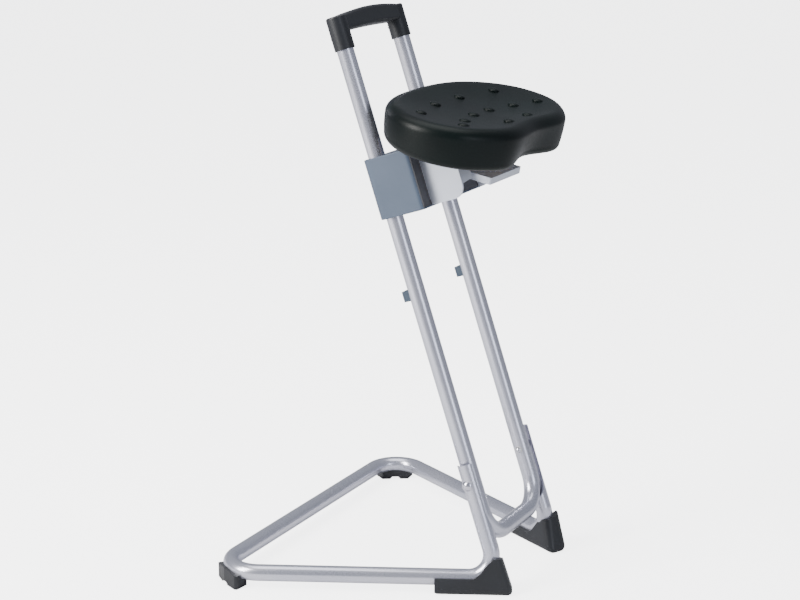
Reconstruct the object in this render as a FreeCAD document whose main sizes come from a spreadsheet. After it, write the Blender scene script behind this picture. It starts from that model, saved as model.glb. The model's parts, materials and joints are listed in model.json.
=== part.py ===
"""Perch stool: a leaning sit-stand seat on a folding tube frame.

Millimetres, +Z up.  The stool faces -Y, X runs across it, and the origin is on the
floor in the middle of its footprint.  Pieces that belong to the leaning uprights are
drawn in the uprights' own frame: X across, -Y forward of the tubes, Z along the tubes,
starting where their axes meet the floor.  The carriage's frame is the same, but starts
at the lower end of its housing.
"""
import FreeCAD, Part
import math
import os

from FreeCAD import Placement, Rotation, Vector

DRIVING_SIZES = [
    # The folding uprights
    ("lean_angle", 19.1, "backward lean of the uprights, degrees"),
    ("tube_diameter", 25, "steel tube of both frames"),
    ("tube_wall", 2, ""),
    ("leg_spacing", 168, "between the axes of the two uprights"),
    ("cross_tube_height", 84, "axis of the lower cross run, along the uprights"),
    ("upright_bend", 45, "bend radius at the axis"),
    ("upright_top", 866, "cut end of the uprights, inside the handle"),
    # The base tube
    ("base_leg_outset", 9.5, "base leg axis outboard of the upright axis"),
    ("base_leg_forward", 1.5, "base leg axis forward of the upright axis"),
    ("base_leg_top", 203, "cut end of the base legs, along the uprights"),
    ("arm_height", 24, "axis of the floor arms above the floor"),
    ("splay_angle", 26.1, "each arm from straight back, degrees"),
    ("rear_reach", 393, "rear cross run behind the uprights' floor line"),
    ("base_front_bend", 34, "bend radius at the axis"),
    ("base_rear_bend", 45, "bend radius at the axis"),
    ("side_gap", 0.5, "between the folding tube and the cut base leg"),
    # The fold pivots
    ("pivot_height", 172, "pivot axis, along the uprights"),
    ("rivet_shank", 8, "diameter"),
    ("rivet_head", 15.5, "diameter"),
    ("rivet_head_height", 4, ""),
    ("rivet_tail", 10, "diameter"),
    ("rivet_tail_height", 3, ""),
    ("pivot_bush_diameter", 11, "outside"),
    ("pivot_bush_proud", 0.8, "beyond the inboard side of the tube"),
    ("running_fit", 0.05, "radial, between parts that turn or slide"),
    ("end_gap", 0.3, "between faces that pass each other"),
    # The feet
    ("shoe_width", 37, "at the floor"),
    ("shoe_top_width", 29.5, "at the top of the toe"),
    ("shoe_front", 14.3, "front face forward of the base leg axis, along the arm"),
    ("shoe_length", 103, "heel behind the leg axis at the floor"),
    ("shoe_height", 60, "outboard side of the toe"),
    ("shoe_inboard_fall", 10, "inboard side lower than the outboard one"),
    ("shoe_wall_height", 28, "outboard wall along the arm"),
    ("shoe_toe_radius", 6, ""),
    ("shoe_heel_chamfer", 5, ""),
    ("shoe_corner_radius", 11, "upright corners at the toe"),
    ("shoe_screw_back", 62, "screw behind the leg axis at the floor"),
    ("glide_outer", 58, "outer corners from the centre of the rear bend"),
    ("glide_apex", 62, "outer point from the centre of the rear bend"),
    ("glide_inner", 35, "inner face from the centre of the rear bend"),
    ("glide_half_length", 33, ""),
    ("glide_inner_half", 22, ""),
    ("glide_corner_radius", 4, ""),
    ("glide_height", 26, "at the outer point"),
    ("glide_end_height", 21, "at the ends"),
    ("glide_lip_height", 16, "on the inner side"),
    ("glide_arch", 4, "height of the arch between the floor pads"),
    ("glide_arch_width", 18, ""),
    ("foot_screw", 4, "shank diameter"),
    ("foot_screw_head", 8, "diameter"),
    ("foot_screw_head_height", 2.5, ""),
    ("foot_screw_sink", 2, "head above the face it is driven from"),
    ("foot_screw_end", 5, "tip above the lowest line of the tube"),
    # The carry handle and the lower stops
    ("socket_diameter", 30, ""),
    ("socket_cover", 36, "length of upright inside each socket"),
    ("grip_depth", 26, "front to back"),
    ("grip_height", 28, "at the crown"),
    ("grip_rise", 19, "crown above the cut ends of the uprights"),
    ("grip_crown", 6, "crown above the ends of the bar"),
    ("grip_hollow", 2, "arch of the underside"),
    ("grip_edge_radius", 5, ""),
    ("socket_edge_radius", 3, ""),
    ("handle_screw_drop", 16, "under the cut ends of the uprights"),
    ("handle_screw_sink", 0.8, "seat of the head under the socket's surface"),
    ("stop_height", 463, "middle of the stop, along the uprights"),
    ("stop_length", 16, "along the uprights"),
    ("stop_width", 14, ""),
    ("stop_depth", 9.5, "behind the tube"),
    ("stop_corner_radius", 2, ""),
    ("stop_screw_sink", 1, "head under the back of the stop"),
    ("small_screw", 4, "shank diameter"),
    ("small_screw_head", 7, "diameter"),
    ("small_screw_head_height", 2.2, ""),
    ("small_screw_length", 7, "under the head"),
    # The carriage: its heights count from the lower end of its housing
    ("carriage_height", 580, "lower end of the housing, along the uprights"),
    ("housing_width", 202, ""),
    ("housing_height", 90, ""),
    ("housing_rear", 21, "rear face behind the tube axes"),
    ("housing_front", 61, "front face forward of the tube axes"),
    ("housing_wall", 2.5, ""),
    ("housing_rear_radius", 19, ""),
    ("housing_front_radius", 7, ""),
    ("housing_hole_gap", 0.6, "around each tube"),
    ("fit_gap", 0.3, "around pieces that drop into others"),
    ("core_thickness", 3, "pressed steel"),
    ("core_face", 20, "front face forward of the tube axes"),
    ("core_flange_width", 180, ""),
    ("window_margin", 3, "panel window beside the lever"),
    ("window_below", 14, "panel window under the lever pin"),
    ("window_above", 9, "panel window over the lever pin"),
    ("ear_reach", 36, "ears forward of the core face"),
    ("core_window_width", 114, ""),
    ("core_window_bottom", 44, ""),
    ("core_window_height", 15, ""),
    ("rib_height", 9, "ribs that hold the locking plate down"),
    ("guide_bush_wall", 1.45, ""),
    ("guide_bush_length", 12, ""),
    ("boss_diameter", 8, ""),
    ("boss_spacing", 80, "across"),
    ("boss_margin", 17, "from the ends of the housing"),
    # The seat bracket and its fixings
    ("cheek_span", 152, "over the two cheeks"),
    ("cheek_thickness", 3, ""),
    ("cheek_front", 118, "front corner forward of the tube axes"),
    ("cheek_bottom", 2, ""),
    ("cheek_front_bottom", 20, ""),
    ("cheek_slot_bottom", 10, "neck of the cheek"),
    ("cheek_slot_top", 80, "neck of the cheek"),
    ("bracket_front_span", 114, "between the inner edges of the front flanges"),
    ("bracket_front_run", 8, "front flanges forward of the cheeks"),
    ("bracket_front_rise", 4, "lower edge of each front flange, from cheek to inner edge"),
    ("bolt_diameter", 6, ""),
    ("bolt_head", 10, "across corners"),
    ("bolt_head_height", 4, ""),
    ("nut_height", 5, ""),
    ("bolt_end", 1, "beyond the nut"),
    ("bolt_forward", 34, "forward of the tube axes"),
    ("bolt_low", 20, ""),
    ("bolt_high", 74, ""),
    # The release lever and the locking plate
    ("lever_width", 100, ""),
    ("lever_thickness", 2.5, ""),
    ("lever_drop", 86, "top of the lever under the rim of the seat"),
    ("lever_front", 59.5, "front lip forward of the seat centre"),
    ("lever_lip", 10, "height of its flanges"),
    ("lever_bend_radius", 2.4, "outside of its front bend"),
    ("lever_web_rear", 42, "rear edge forward of the tube axes"),
    ("lever_lug", 9, "lever's plate round the pin"),
    ("lever_tail_height", 7.5, ""),
    ("lever_pin_diameter", 6, ""),
    ("lever_pin_forward", 50, "forward of the tube axes"),
    ("lever_pin_height", 61.5, ""),
    ("lever_tail", 27, "tail tip forward of the tube axes"),
    ("lever_spacer_diameter", 11, ""),
    ("clip_diameter", 12, ""),
    ("clip_thickness", 1, ""),
    ("plate_thickness", 4, "locking plate"),
    ("plate_width", 186, ""),
    ("plate_rear", 17, "behind the tube axes"),
    ("plate_front", 15, "forward of the tube axes"),
    ("plate_tongue", 34, "forward of the tube axes"),
    ("plate_tongue_width", 108, ""),
    ("plate_corner", 7, "rear corners"),
    ("plate_tilt", 3, "front raised at rest, degrees"),
    ("plate_hole_gap", 0.25, "radial, around the tube"),
    ("plate_top", 52, "top face at its rear edge"),
    ("spring_diameter", 9, "outside"),
    ("spring_wire", 1.2, ""),
    ("spring_turns", 7, ""),
    ("spring_offset", 20, "each side of the middle"),
    ("spring_forward", 6, "forward of the tube axes"),
    ("spring_play", 1.3, "under the locking plate at rest"),
    # The seat
    ("seat_forward", 141.2, "rim centre forward of the tube axes"),
    ("seat_rise", 119.5, "rim centre above the lower end of the housing"),
    ("seat_tilt", 9.9, "rim lower at the front than at the rear, degrees"),
    ("seat_wedge", 2.4, "underside steeper than the rim, degrees"),
    ("seat_depth_rear", 112, ""),
    ("seat_depth_front", 98.5, ""),
    ("seat_half_width", 174, ""),
    ("seat_thickness", 56, "at the seat centre"),
    ("seat_notch", 6, "hollow in the middle of the front edge"),
    ("seat_dish", 9, "depth of the hollow top"),
    ("seat_rim_radius", 14, ""),
    ("seat_foot_radius", 11, "lower edge"),
    ("insert_width", 170, ""),
    ("insert_length", 120, ""),
    ("insert_thickness", 9, ""),
    ("insert_rear", 82, "rear edge behind the seat centre"),
    ("insert_corner", 15, ""),
    ("seat_screw", 5, "shank diameter"),
    ("seat_screw_head", 10, "diameter"),
    ("seat_screw_head_height", 3, ""),
    ("seat_screw_grip", 6.5, "length in the insert"),
    ("seat_screw_spacing", 84, "across"),
    ("seat_screw_rear", 56, "rear pair behind the seat centre"),
    ("seat_screw_front", 8, "front pair behind the seat centre"),
]

document = FreeCAD.newDocument("perch_stool")
sheet = document.addObject("Spreadsheet::Sheet", "sizes")
for line_number, (alias, value, note) in enumerate(DRIVING_SIZES, start=1):
    sheet.set("A%d" % line_number, alias.replace("_", " ") + (", " + note if note else ""))
    sheet.set("B%d" % line_number, str(value))
    sheet.setAlias("B%d" % line_number, alias)
document.recompute()


def size(alias):
    """Value of one driving size."""
    return float(sheet.get(alias))


ACROSS = Vector(1, 0, 0)
BACKWARD = Vector(0, 1, 0)
UPWARD = Vector(0, 0, 1)
TOUCH = 0.01
SIDES = (("left", -1), ("right", 1))
sub_parts = []


def finish(item):
    """Keep an object as one named sub-part of the stool."""
    sub_parts.append(item)
    return item


def feature(label, shape, placement):
    """Sub-part whose shape is made by hand."""
    item = document.addObject("Part::Feature", label)
    item.Shape = shape
    item.Placement = placement
    return finish(item)


def primitive(kind, label, sizes, base=None, turn=None):
    """Part primitive with its sizes bound to the sheet."""
    item = document.addObject("Part::" + kind, label)
    for name, expression in sizes.items():
        item.setExpression(name, expression)
    item.Placement = Placement(base or Vector(), turn or Rotation())
    return item


def boolean(kind, label, first, second, placement=None):
    """Part boolean of two objects."""
    item = document.addObject("Part::" + kind, label)
    item.Base = first
    item.Tool = second
    if placement is not None:
        item.Placement = placement
    return item


def origin_plane(body, role):
    """One of a body's own origin planes."""
    return [plane for plane in body.Origin.OriginFeatures if plane.Role == role][0]


def sketch_on(body, role, label):
    """Empty sketch on one of the body's origin planes."""
    sketch = body.newObject("Sketcher::SketchObject", label)
    sketch.AttachmentSupport = [(origin_plane(body, role), "")]
    sketch.MapMode = "FlatFace"
    return sketch


def sketch_polygon(sketch, corners):
    """Closed chain of lines in a sketch."""
    for start, end in zip(corners, corners[1:] + corners[:1]):
        sketch.addGeometry(Part.LineSegment(Vector(*start, 0), Vector(*end, 0)), False)


def sketch_rectangle(sketch, left, right, bottom, top):
    sketch_polygon(sketch, [(left, bottom), (right, bottom), (right, top), (left, top)])


def sketch_circle(sketch, across, along, radius):
    sketch.addGeometry(Part.Circle(Vector(across, along, 0), UPWARD, radius), False)


def box(x_range, y_range, z_range):
    """Solid box between pairs of limits."""
    corner = Vector(x_range[0], y_range[0], z_range[0])
    return Part.makeBox(
        x_range[1] - x_range[0], y_range[1] - y_range[0], z_range[1] - z_range[0], corner
    )


def closed_wire(points):
    return Part.makePolygon(points + points[:1])


def prism(points, direction):
    """Solid made by pushing a flat polygon along a direction."""
    return Part.Face(closed_wire(points)).extrude(direction)


def rod(radius, start, end):
    """Solid cylinder between two points."""
    return Part.makeCylinder(radius, (end - start).Length, start, end - start)


def side_rod(radius, x_from, x_to, forward, along):
    """Cylinder across the stool, in the uprights' frame."""
    return rod(radius, Vector(x_from, -forward, along), Vector(x_to, -forward, along))


def bent_path(points, radii):
    """Wire of straight runs through the points, joined by tangent arcs at the inner ones."""
    edges = []
    last = points[0]
    for before, corner, after, radius in zip(points, points[1:], points[2:], radii):
        incoming = (corner - before).normalize()
        outgoing = (after - corner).normalize()
        half_turn = incoming.getAngle(outgoing) / 2
        tangent_length = radius * math.tan(half_turn)
        arc_start = corner - incoming * tangent_length
        arc_end = corner + outgoing * tangent_length
        inward = (outgoing - incoming).normalize()
        arc_middle = corner + inward * radius * (1 / math.cos(half_turn) - 1)
        edges.append(Part.LineSegment(last, arc_start).toShape())
        edges.append(Part.Arc(arc_start, arc_middle, arc_end).toShape())
        last = arc_end
    edges.append(Part.LineSegment(last, points[-1]).toShape())
    return Part.Wire(edges)


def swept_rod(path, radius):
    """Round solid along a path."""
    start = path.Edges[0]
    direction = start.tangentAt(start.FirstParameter)
    profile = Part.Wire(Part.makeCircle(radius, start.valueAt(start.FirstParameter), direction))
    return path.makePipeShell([profile], True, True)


# Sizes worked out from the driving ones
TUBE_RADIUS = size("tube_diameter") / 2
TUBE_BORE = TUBE_RADIUS - size("tube_wall")
LEG_X = size("leg_spacing") / 2
BASE_LEG_X = LEG_X + size("base_leg_outset")
LEAN = math.radians(size("lean_angle"))
SPLAY = math.radians(size("splay_angle"))
BEYOND = 2 * size("tube_diameter")

leaned = Placement(Vector(), Rotation(ACROSS, -size("lean_angle")))


# Base frame: one bent tube from leg to leg round the floor
leg_top = leaned.multVec(Vector(BASE_LEG_X, -size("base_leg_forward"), size("base_leg_top")))
leg_fall = leg_top.z - size("arm_height")
leg_foot = Vector(BASE_LEG_X, leg_top.y - leg_fall * math.tan(LEAN), size("arm_height"))
corner_y = size("rear_reach")
corner_x = BASE_LEG_X + (corner_y - leg_foot.y) * math.tan(SPLAY)
rear_corner = Vector(corner_x, corner_y, size("arm_height"))


def mirrored_point(point):
    return Vector(-point.x, point.y, point.z)


base_path = bent_path(
    [
        leg_top,
        leg_foot,
        rear_corner,
        mirrored_point(rear_corner),
        mirrored_point(leg_foot),
        mirrored_point(leg_top),
    ],
    [
        size("base_front_bend"),
        size("base_rear_bend"),
        size("base_rear_bend"),
        size("base_front_bend"),
    ],
)
base_envelope = swept_rod(base_path, TUBE_RADIUS)

# Front foot: a wedge shoe in line with the arm, worked out for the right side
arm_direction = Vector(math.sin(SPLAY), math.cos(SPLAY), 0)
arm_side = Vector(math.cos(SPLAY), -math.sin(SPLAY), 0)
leg_slope = math.tan(LEAN) * math.cos(SPLAY)
floor_point = leg_foot - arm_direction * (size("arm_height") * leg_slope)
floor_point.z = 0


SHOE_BACK_LINE = [(0.44, 0.0), (0.35, 0.26), (0.235, 0.76), (0.15, 1.0)]


def shoe_point(along, outboard, height):
    """Point of the right shoe, from distances along and outboard of the arm."""
    return floor_point + arm_direction * along + arm_side * outboard + UPWARD * height


def shoe_front(height):
    return height * leg_slope - size("shoe_front")


def shoe_section(height):
    """Corners of the shoe's blank at one height; its sides draw in towards the top."""
    drawn_in = (size("shoe_width") - size("shoe_top_width")) * height / size("shoe_height")
    half = (size("shoe_width") - drawn_in) / 2
    front = shoe_front(height)
    heel = size("shoe_length")
    return [
        shoe_point(front, -half, height),
        shoe_point(heel, -half, height),
        shoe_point(heel, half, height),
        shoe_point(front, half, height),
    ]


def room_over_shoe():
    """Space above the shoe's top line, lower on the inboard side."""
    top = size("shoe_height")
    wall_top = size("shoe_wall_height")
    heel = size("shoe_length")
    half = size("shoe_width") / 2
    outline = [shoe_point(-heel, half, top), shoe_point(-heel, half, 2 * top)]
    outline += [shoe_point(2 * heel, half, 2 * top), shoe_point(2 * heel, half, wall_top)]
    for share_back, share_up in SHOE_BACK_LINE:
        height = wall_top + share_up * (top - wall_top)
        outline.append(shoe_point(share_back * heel, half, height))
    across = arm_side * -2 * half - UPWARD * size("shoe_inboard_fall")
    return prism(outline, across)


def front_shoe():
    heel = size("shoe_length")
    chamfer = size("shoe_heel_chamfer")
    half = size("shoe_width") / 2
    sections = [closed_wire(shoe_section(height)) for height in (0, size("shoe_height"))]
    shoe = Part.makeLoft(sections, True, True)
    toe = [edge for edge in shoe.Edges if is_toe_edge(edge)]
    shoe = shoe.makeFillet(size("shoe_toe_radius"), toe)
    front = [edge for edge in shoe.Edges if is_front_corner(edge)]
    shoe = shoe.makeFillet(size("shoe_corner_radius"), front)
    under_heel = [
        shoe_point(heel - chamfer, -2 * half, 0),
        shoe_point(heel + chamfer, -2 * half, 0),
        shoe_point(heel + chamfer, -2 * half, 2 * chamfer),
    ]
    shoe = shoe.cut(prism(under_heel, arm_side * 4 * half))
    return shoe.cut(room_over_shoe()).cut(base_envelope)


def along_arm(point):
    """Distance of a point behind the leg axis' floor point, along the arm."""
    return (point - floor_point).dot(arm_direction)


def is_toe_edge(edge):
    ends = [vertex.Point for vertex in edge.Vertexes]
    return all(abs(end.z) < TOUCH and along_arm(end) < shoe_front(0) + TOUCH for end in ends)


def is_front_corner(edge):
    ends = [vertex.Point for vertex in edge.Vertexes]
    if len(ends) < 2 or abs(ends[0].z - ends[1].z) < size("shoe_height") / 2:
        return False
    return all(abs(along_arm(end) - shoe_front(end.z)) < TOUCH for end in ends)


# Rear glide: a shoe round the outside of the rear bend, worked out for the right side
rear_turn = math.pi / 2 + SPLAY
to_centre = (Vector(-1, 0, 0) - arm_direction).normalize()
bend_centre = rear_corner + to_centre * (size("base_rear_bend") / math.cos(rear_turn / 2))
bend_centre.z = 0
outward = to_centre * -1
along_bend = Vector(-outward.y, outward.x, 0)


def glide_point(out, along, height=0.0):
    return bend_centre + outward * out + along_bend * along + UPWARD * height


def rear_glide():
    half = size("glide_half_length")
    inner_half = size("glide_inner_half")
    outline = [
        glide_point(size("glide_inner"), -inner_half),
        glide_point(size("glide_outer"), -half),
        glide_point(size("glide_apex"), 0),
        glide_point(size("glide_outer"), half),
        glide_point(size("glide_inner"), inner_half),
    ]
    glide = prism(outline, UPWARD * size("glide_height"))
    outer_edges = [
        edge
        for edge in glide.Edges
        if abs(edge.Vertexes[0].Point.z - edge.Vertexes[1].Point.z) > TOUCH
        and (edge.Vertexes[0].Point - bend_centre).dot(outward) > size("glide_inner") + TOUCH
    ]
    glide = glide.makeFillet(size("glide_corner_radius"), outer_edges)
    fall = size("glide_height") - size("glide_end_height")
    far = 2 * half
    for way in (-1, 1):
        above_slope = [
            glide_point(0, 0, size("glide_height")),
            glide_point(0, way * far, size("glide_height") - fall * far / half),
            glide_point(0, way * far, size("glide_height") + fall),
        ]
        glide = glide.cut(prism(above_slope, outward * 2 * size("glide_apex")))
    inner_room = Part.makeCylinder(
        size("base_rear_bend"),
        size("glide_height"),
        glide_point(0, 0, size("glide_lip_height")),
    )
    arch_half = size("glide_arch_width") / 2
    arch = prism(
        [
            glide_point(0, -arch_half),
            glide_point(0, -arch_half + size("glide_arch"), size("glide_arch")),
            glide_point(0, arch_half - size("glide_arch"), size("glide_arch")),
            glide_point(0, arch_half),
        ],
        outward * 2 * size("glide_apex"),
    )
    return glide.cut(inner_room).cut(arch).cut(base_envelope)


def foot_screw_at(point, deepest):
    """Pan-head screw driven up through a foot into the tube."""
    head_base = point + UPWARD * size("foot_screw_sink")
    head_top = head_base + UPWARD * size("foot_screw_head_height")
    tip = Vector(point.x, point.y, deepest)
    head = rod(size("foot_screw_head") / 2, head_base, head_top)
    return head.fuse(rod(size("foot_screw") / 2, head_top, tip))


def foot_screw_room(point, deepest):
    """Counterbore and hole for that screw."""
    head_top = point + UPWARD * (size("foot_screw_sink") + size("foot_screw_head_height"))
    room = rod(size("foot_screw_head") / 2 + size("fit_gap"), point, head_top)
    return room.fuse(rod(size("foot_screw") / 2, head_top, Vector(point.x, point.y, deepest)))


screw_tip = size("arm_height") - TUBE_RADIUS + size("foot_screw_end")
shoe_screw = shoe_point(size("shoe_screw_back"), 0, 0)
glide_screw = glide_point(size("base_rear_bend"), 0, size("glide_arch"))
foot_screw_spots = (shoe_screw, glide_screw)
screw_rooms = foot_screw_room(shoe_screw, screw_tip).fuse(foot_screw_room(glide_screw, screw_tip))

right_shoe = front_shoe().cut(screw_rooms)
right_glide = rear_glide().cut(screw_rooms)
origin_y = -(right_shoe.BoundBox.YMin + right_glide.BoundBox.YMax) / 2
floor_place = Placement(Vector(0, origin_y, 0), Rotation())
upright_place = Placement(Vector(0, origin_y, 0), Rotation(ACROSS, -size("lean_angle")))


def sided(shape, side):
    """The right-hand shape, or its mirror image for the left."""
    return shape if side > 0 else shape.mirror(Vector(), ACROSS)


for side_name, side in SIDES:
    feature("front_foot_" + side_name, sided(right_shoe, side), floor_place)
    feature("rear_glide_" + side_name, sided(right_glide, side), floor_place)

all_foot_screws = []
for side_name, side in SIDES:
    for spot in foot_screw_spots:
        all_foot_screws.append(sided(foot_screw_at(spot, screw_tip), side))
feature("foot_screws", Part.makeCompound(all_foot_screws), floor_place)

# The base tube is bored, and its legs are cut to open troughs for the folding frame
base_shape = base_envelope.cut(swept_rod(base_path, TUBE_BORE))
mouth_x = LEG_X + TUBE_RADIUS + size("side_gap")
bend_height = size("cross_tube_height") + size("upright_bend")
bend_x = LEG_X - size("upright_bend")
trough_room = box(
    (-mouth_x, mouth_x),
    (-BEYOND, BEYOND),
    (bend_height, size("base_leg_top") + TUBE_RADIUS),
)
for side_name, side in SIDES:
    trough_end = Part.makeCylinder(
        mouth_x - bend_x,
        2 * BEYOND,
        Vector(side * bend_x, -BEYOND, bend_height),
        BACKWARD,
    )
    trough_room = trough_room.fuse(trough_end)
rivet_radius = size("rivet_shank") / 2
trough_room = trough_room.fuse(
    side_rod(rivet_radius, -2 * BASE_LEG_X, 2 * BASE_LEG_X, 0, size("pivot_height"))
)
trough_room.Placement = leaned.multiply(trough_room.Placement)
base_shape = base_shape.cut(trough_room)
for side_name, side in SIDES:
    base_shape = base_shape.cut(sided(screw_rooms, side))
feature("base_frame", base_shape, floor_place)

# Pivot rivets, fixed in the base legs
bush_inner_x = LEG_X - TUBE_RADIUS - size("pivot_bush_proud")
tail_x = bush_inner_x - size("end_gap")
head_x = BASE_LEG_X + TUBE_RADIUS
head_radius = size("rivet_head") / 2
head_rise = size("rivet_head_height")
leg_envelope = rod(
    TUBE_RADIUS,
    Vector(BASE_LEG_X, -size("base_leg_forward"), 0),
    Vector(BASE_LEG_X, -size("base_leg_forward"), size("base_leg_top")),
)


def domed_end(radius, rise, flat_x, way):
    """Spherical cap of a rivet, its flat face across X."""
    ball_radius = (radius ** 2 + rise ** 2) / (2 * rise)
    centre = Vector(flat_x + way * (rise - ball_radius), 0, size("pivot_height"))
    ball = Part.makeSphere(ball_radius, centre)
    far_x = flat_x + way * 2 * rise
    keep = side_rod(radius, flat_x, far_x, 0, size("pivot_height"))
    return ball.common(keep)


def pivot_rivet():
    saddle_depth = TUBE_RADIUS - math.sqrt(
        TUBE_RADIUS ** 2 - (head_radius + size("base_leg_forward")) ** 2
    )
    dome = domed_end(head_radius, head_rise, head_x, 1)
    collar = side_rod(head_radius, head_x - saddle_depth, head_x, 0, size("pivot_height"))
    head = dome.fuse(collar).cut(leg_envelope)
    shank = side_rod(rivet_radius, tail_x, head_x, 0, size("pivot_height"))
    tail = domed_end(size("rivet_tail") / 2, size("rivet_tail_height"), tail_x, -1)
    return head.fuse(shank).fuse(tail).removeSplitter()


for side_name, side in SIDES:
    feature("pivot_rivet_" + side_name, sided(pivot_rivet(), side), upright_place)


# Uprights: one U-shaped tube
upright_top = size("upright_top")
handle_screw_height = upright_top - size("handle_screw_drop")
upright_path = bent_path(
    [
        Vector(-LEG_X, 0, upright_top),
        Vector(-LEG_X, 0, size("cross_tube_height")),
        Vector(LEG_X, 0, size("cross_tube_height")),
        Vector(LEG_X, 0, upright_top),
    ],
    [size("upright_bend"), size("upright_bend")],
)
upright_shape = swept_rod(upright_path, TUBE_RADIUS).cut(swept_rod(upright_path, TUBE_BORE))
pivot_bush_radius = size("pivot_bush_diameter") / 2
for side_name, side in SIDES:
    bush_hole = side_rod(
        pivot_bush_radius,
        side * (LEG_X - 2 * TUBE_RADIUS),
        side * (LEG_X + 2 * TUBE_RADIUS),
        0,
        size("pivot_height"),
    )
    upright_shape = upright_shape.cut(bush_hole)
    for height in (handle_screw_height, size("stop_height")):
        screw_hole = rod(
            size("small_screw") / 2,
            Vector(side * LEG_X, 0, height),
            Vector(side * LEG_X, 2 * TUBE_RADIUS, height),
        )
        upright_shape = upright_shape.cut(screw_hole)
feature("upright_frame", upright_shape, upright_place)

# Pivot bushes, pressed through the uprights
trough_bore_reach = math.sqrt(
    TUBE_BORE ** 2 - (pivot_bush_radius + size("base_leg_forward")) ** 2
)
bush_outer_x = BASE_LEG_X + trough_bore_reach - size("end_gap")
for side_name, side in SIDES:
    bush_start = Vector(side * bush_inner_x, 0, size("pivot_height"))
    facing = Rotation(UPWARD, ACROSS * side)
    bush_solid = primitive(
        "Cylinder",
        "pivot_bush_blank_" + side_name,
        {"Radius": "sizes.pivot_bush_diameter / 2"},
        bush_start,
        facing,
    )
    bush_solid.Height = bush_outer_x - bush_inner_x
    bush_bore = primitive(
        "Cylinder",
        "pivot_bush_bore_" + side_name,
        {"Radius": "sizes.rivet_shank / 2 + sizes.running_fit"},
        bush_start,
        facing,
    )
    bush_bore.Height = bush_outer_x - bush_inner_x
    finish(boolean("Cut", "pivot_bush_" + side_name, bush_solid, bush_bore, upright_place))


def small_screw_at(x, seat_y, height):
    """Pan-head screw from behind, its head resting on the plane seat_y."""
    head_end = Vector(x, seat_y + size("small_screw_head_height"), height)
    seat = Vector(x, seat_y, height)
    tip = Vector(x, seat_y - size("small_screw_length"), height)
    head = rod(size("small_screw_head") / 2, seat, head_end)
    return head.fuse(rod(size("small_screw") / 2, tip, seat))


def small_screw_room(x, seat_y, height):
    """Counterbore and hole for that screw."""
    seat = Vector(x, seat_y, height)
    far = Vector(x, seat_y + 2 * TUBE_RADIUS, height)
    middle = Vector(x, 0, height)
    room = rod(size("small_screw_head") / 2 + size("fit_gap"), seat, far)
    return room.fuse(rod(size("small_screw") / 2, middle, seat))


# Lower stops, screwed to the backs of the uprights
stop_rear = TUBE_RADIUS + size("stop_depth")
stop_seat = stop_rear - size("small_screw_head_height") - size("stop_screw_sink")
stop_half = size("stop_length") / 2
stop_blank = box(
    (LEG_X - size("stop_width") / 2, LEG_X + size("stop_width") / 2),
    (0, stop_rear),
    (size("stop_height") - stop_half, size("stop_height") + stop_half),
)
rear_stop_edges = [
    edge for edge in stop_blank.Edges if abs(edge.CenterOfMass.y - stop_rear) < TOUCH
]
stop_blank = stop_blank.makeFillet(size("stop_corner_radius"), rear_stop_edges)
stop_tube = rod(
    TUBE_RADIUS,
    Vector(LEG_X, 0, size("stop_height") - size("stop_length")),
    Vector(LEG_X, 0, size("stop_height") + size("stop_length")),
)
stop_shape = stop_blank.cut(stop_tube)
stop_shape = stop_shape.cut(small_screw_room(LEG_X, stop_seat, size("stop_height")))
stop_shape = max(stop_shape.Solids, key=lambda solid: solid.Volume)
for side_name, side in SIDES:
    feature("lower_stop_" + side_name, sided(stop_shape, side), upright_place)
stop_screws = [
    small_screw_at(side * LEG_X, stop_seat, size("stop_height")) for side_name, side in SIDES
]
feature("stop_screws", Part.makeCompound(stop_screws), upright_place)

# Carry handle: two sockets under a crowned bar
socket_radius = size("socket_diameter") / 2
handle_seat = socket_radius - size("handle_screw_sink")


def handle_shape():
    crown = upright_top + size("grip_rise")
    end_height = crown - size("grip_crown")
    under = crown - size("grip_height")
    reach = LEG_X
    half_depth = size("grip_depth") / 2
    top_left = Vector(-reach, -half_depth, end_height)
    top_right = Vector(reach, -half_depth, end_height)
    low_left = Vector(-reach, -half_depth, under - size("grip_hollow"))
    low_right = Vector(reach, -half_depth, under - size("grip_hollow"))
    outline = Part.Wire(
        [
            Part.Arc(top_left, Vector(0, -half_depth, crown), top_right).toShape(),
            Part.LineSegment(top_right, low_right).toShape(),
            Part.Arc(low_right, Vector(0, -half_depth, under), low_left).toShape(),
            Part.LineSegment(low_left, top_left).toShape(),
        ]
    )
    bar = Part.Face(outline).extrude(Vector(0, 2 * half_depth, 0))
    long_edges = [edge for edge in bar.Edges if edge.Length > reach]
    handle = bar.makeFillet(size("grip_edge_radius"), long_edges)
    for side_name, side in SIDES:
        socket = rod(
            socket_radius,
            Vector(side * LEG_X, 0, upright_top - size("socket_cover")),
            Vector(side * LEG_X, 0, end_height),
        )
        top_rim = [
            edge
            for edge in socket.Edges
            if edge.CenterOfMass.z > end_height - TOUCH and edge.Closed
        ]
        socket = socket.makeFillet(size("socket_edge_radius"), top_rim)
        handle = handle.fuse(socket)
    for side_name, side in SIDES:
        bore = rod(
            TUBE_RADIUS,
            Vector(side * LEG_X, 0, 0),
            Vector(side * LEG_X, 0, upright_top),
        )
        handle = handle.cut(bore)
        room = small_screw_room(side * LEG_X, handle_seat, handle_screw_height)
        handle = handle.cut(room)
    return handle


feature("carry_handle", handle_shape(), upright_place)
handle_screws = [
    small_screw_at(side * LEG_X, handle_seat, handle_screw_height)
    for side_name, side in SIDES
]
feature("handle_screws", Part.makeCompound(handle_screws), upright_place)

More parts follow.
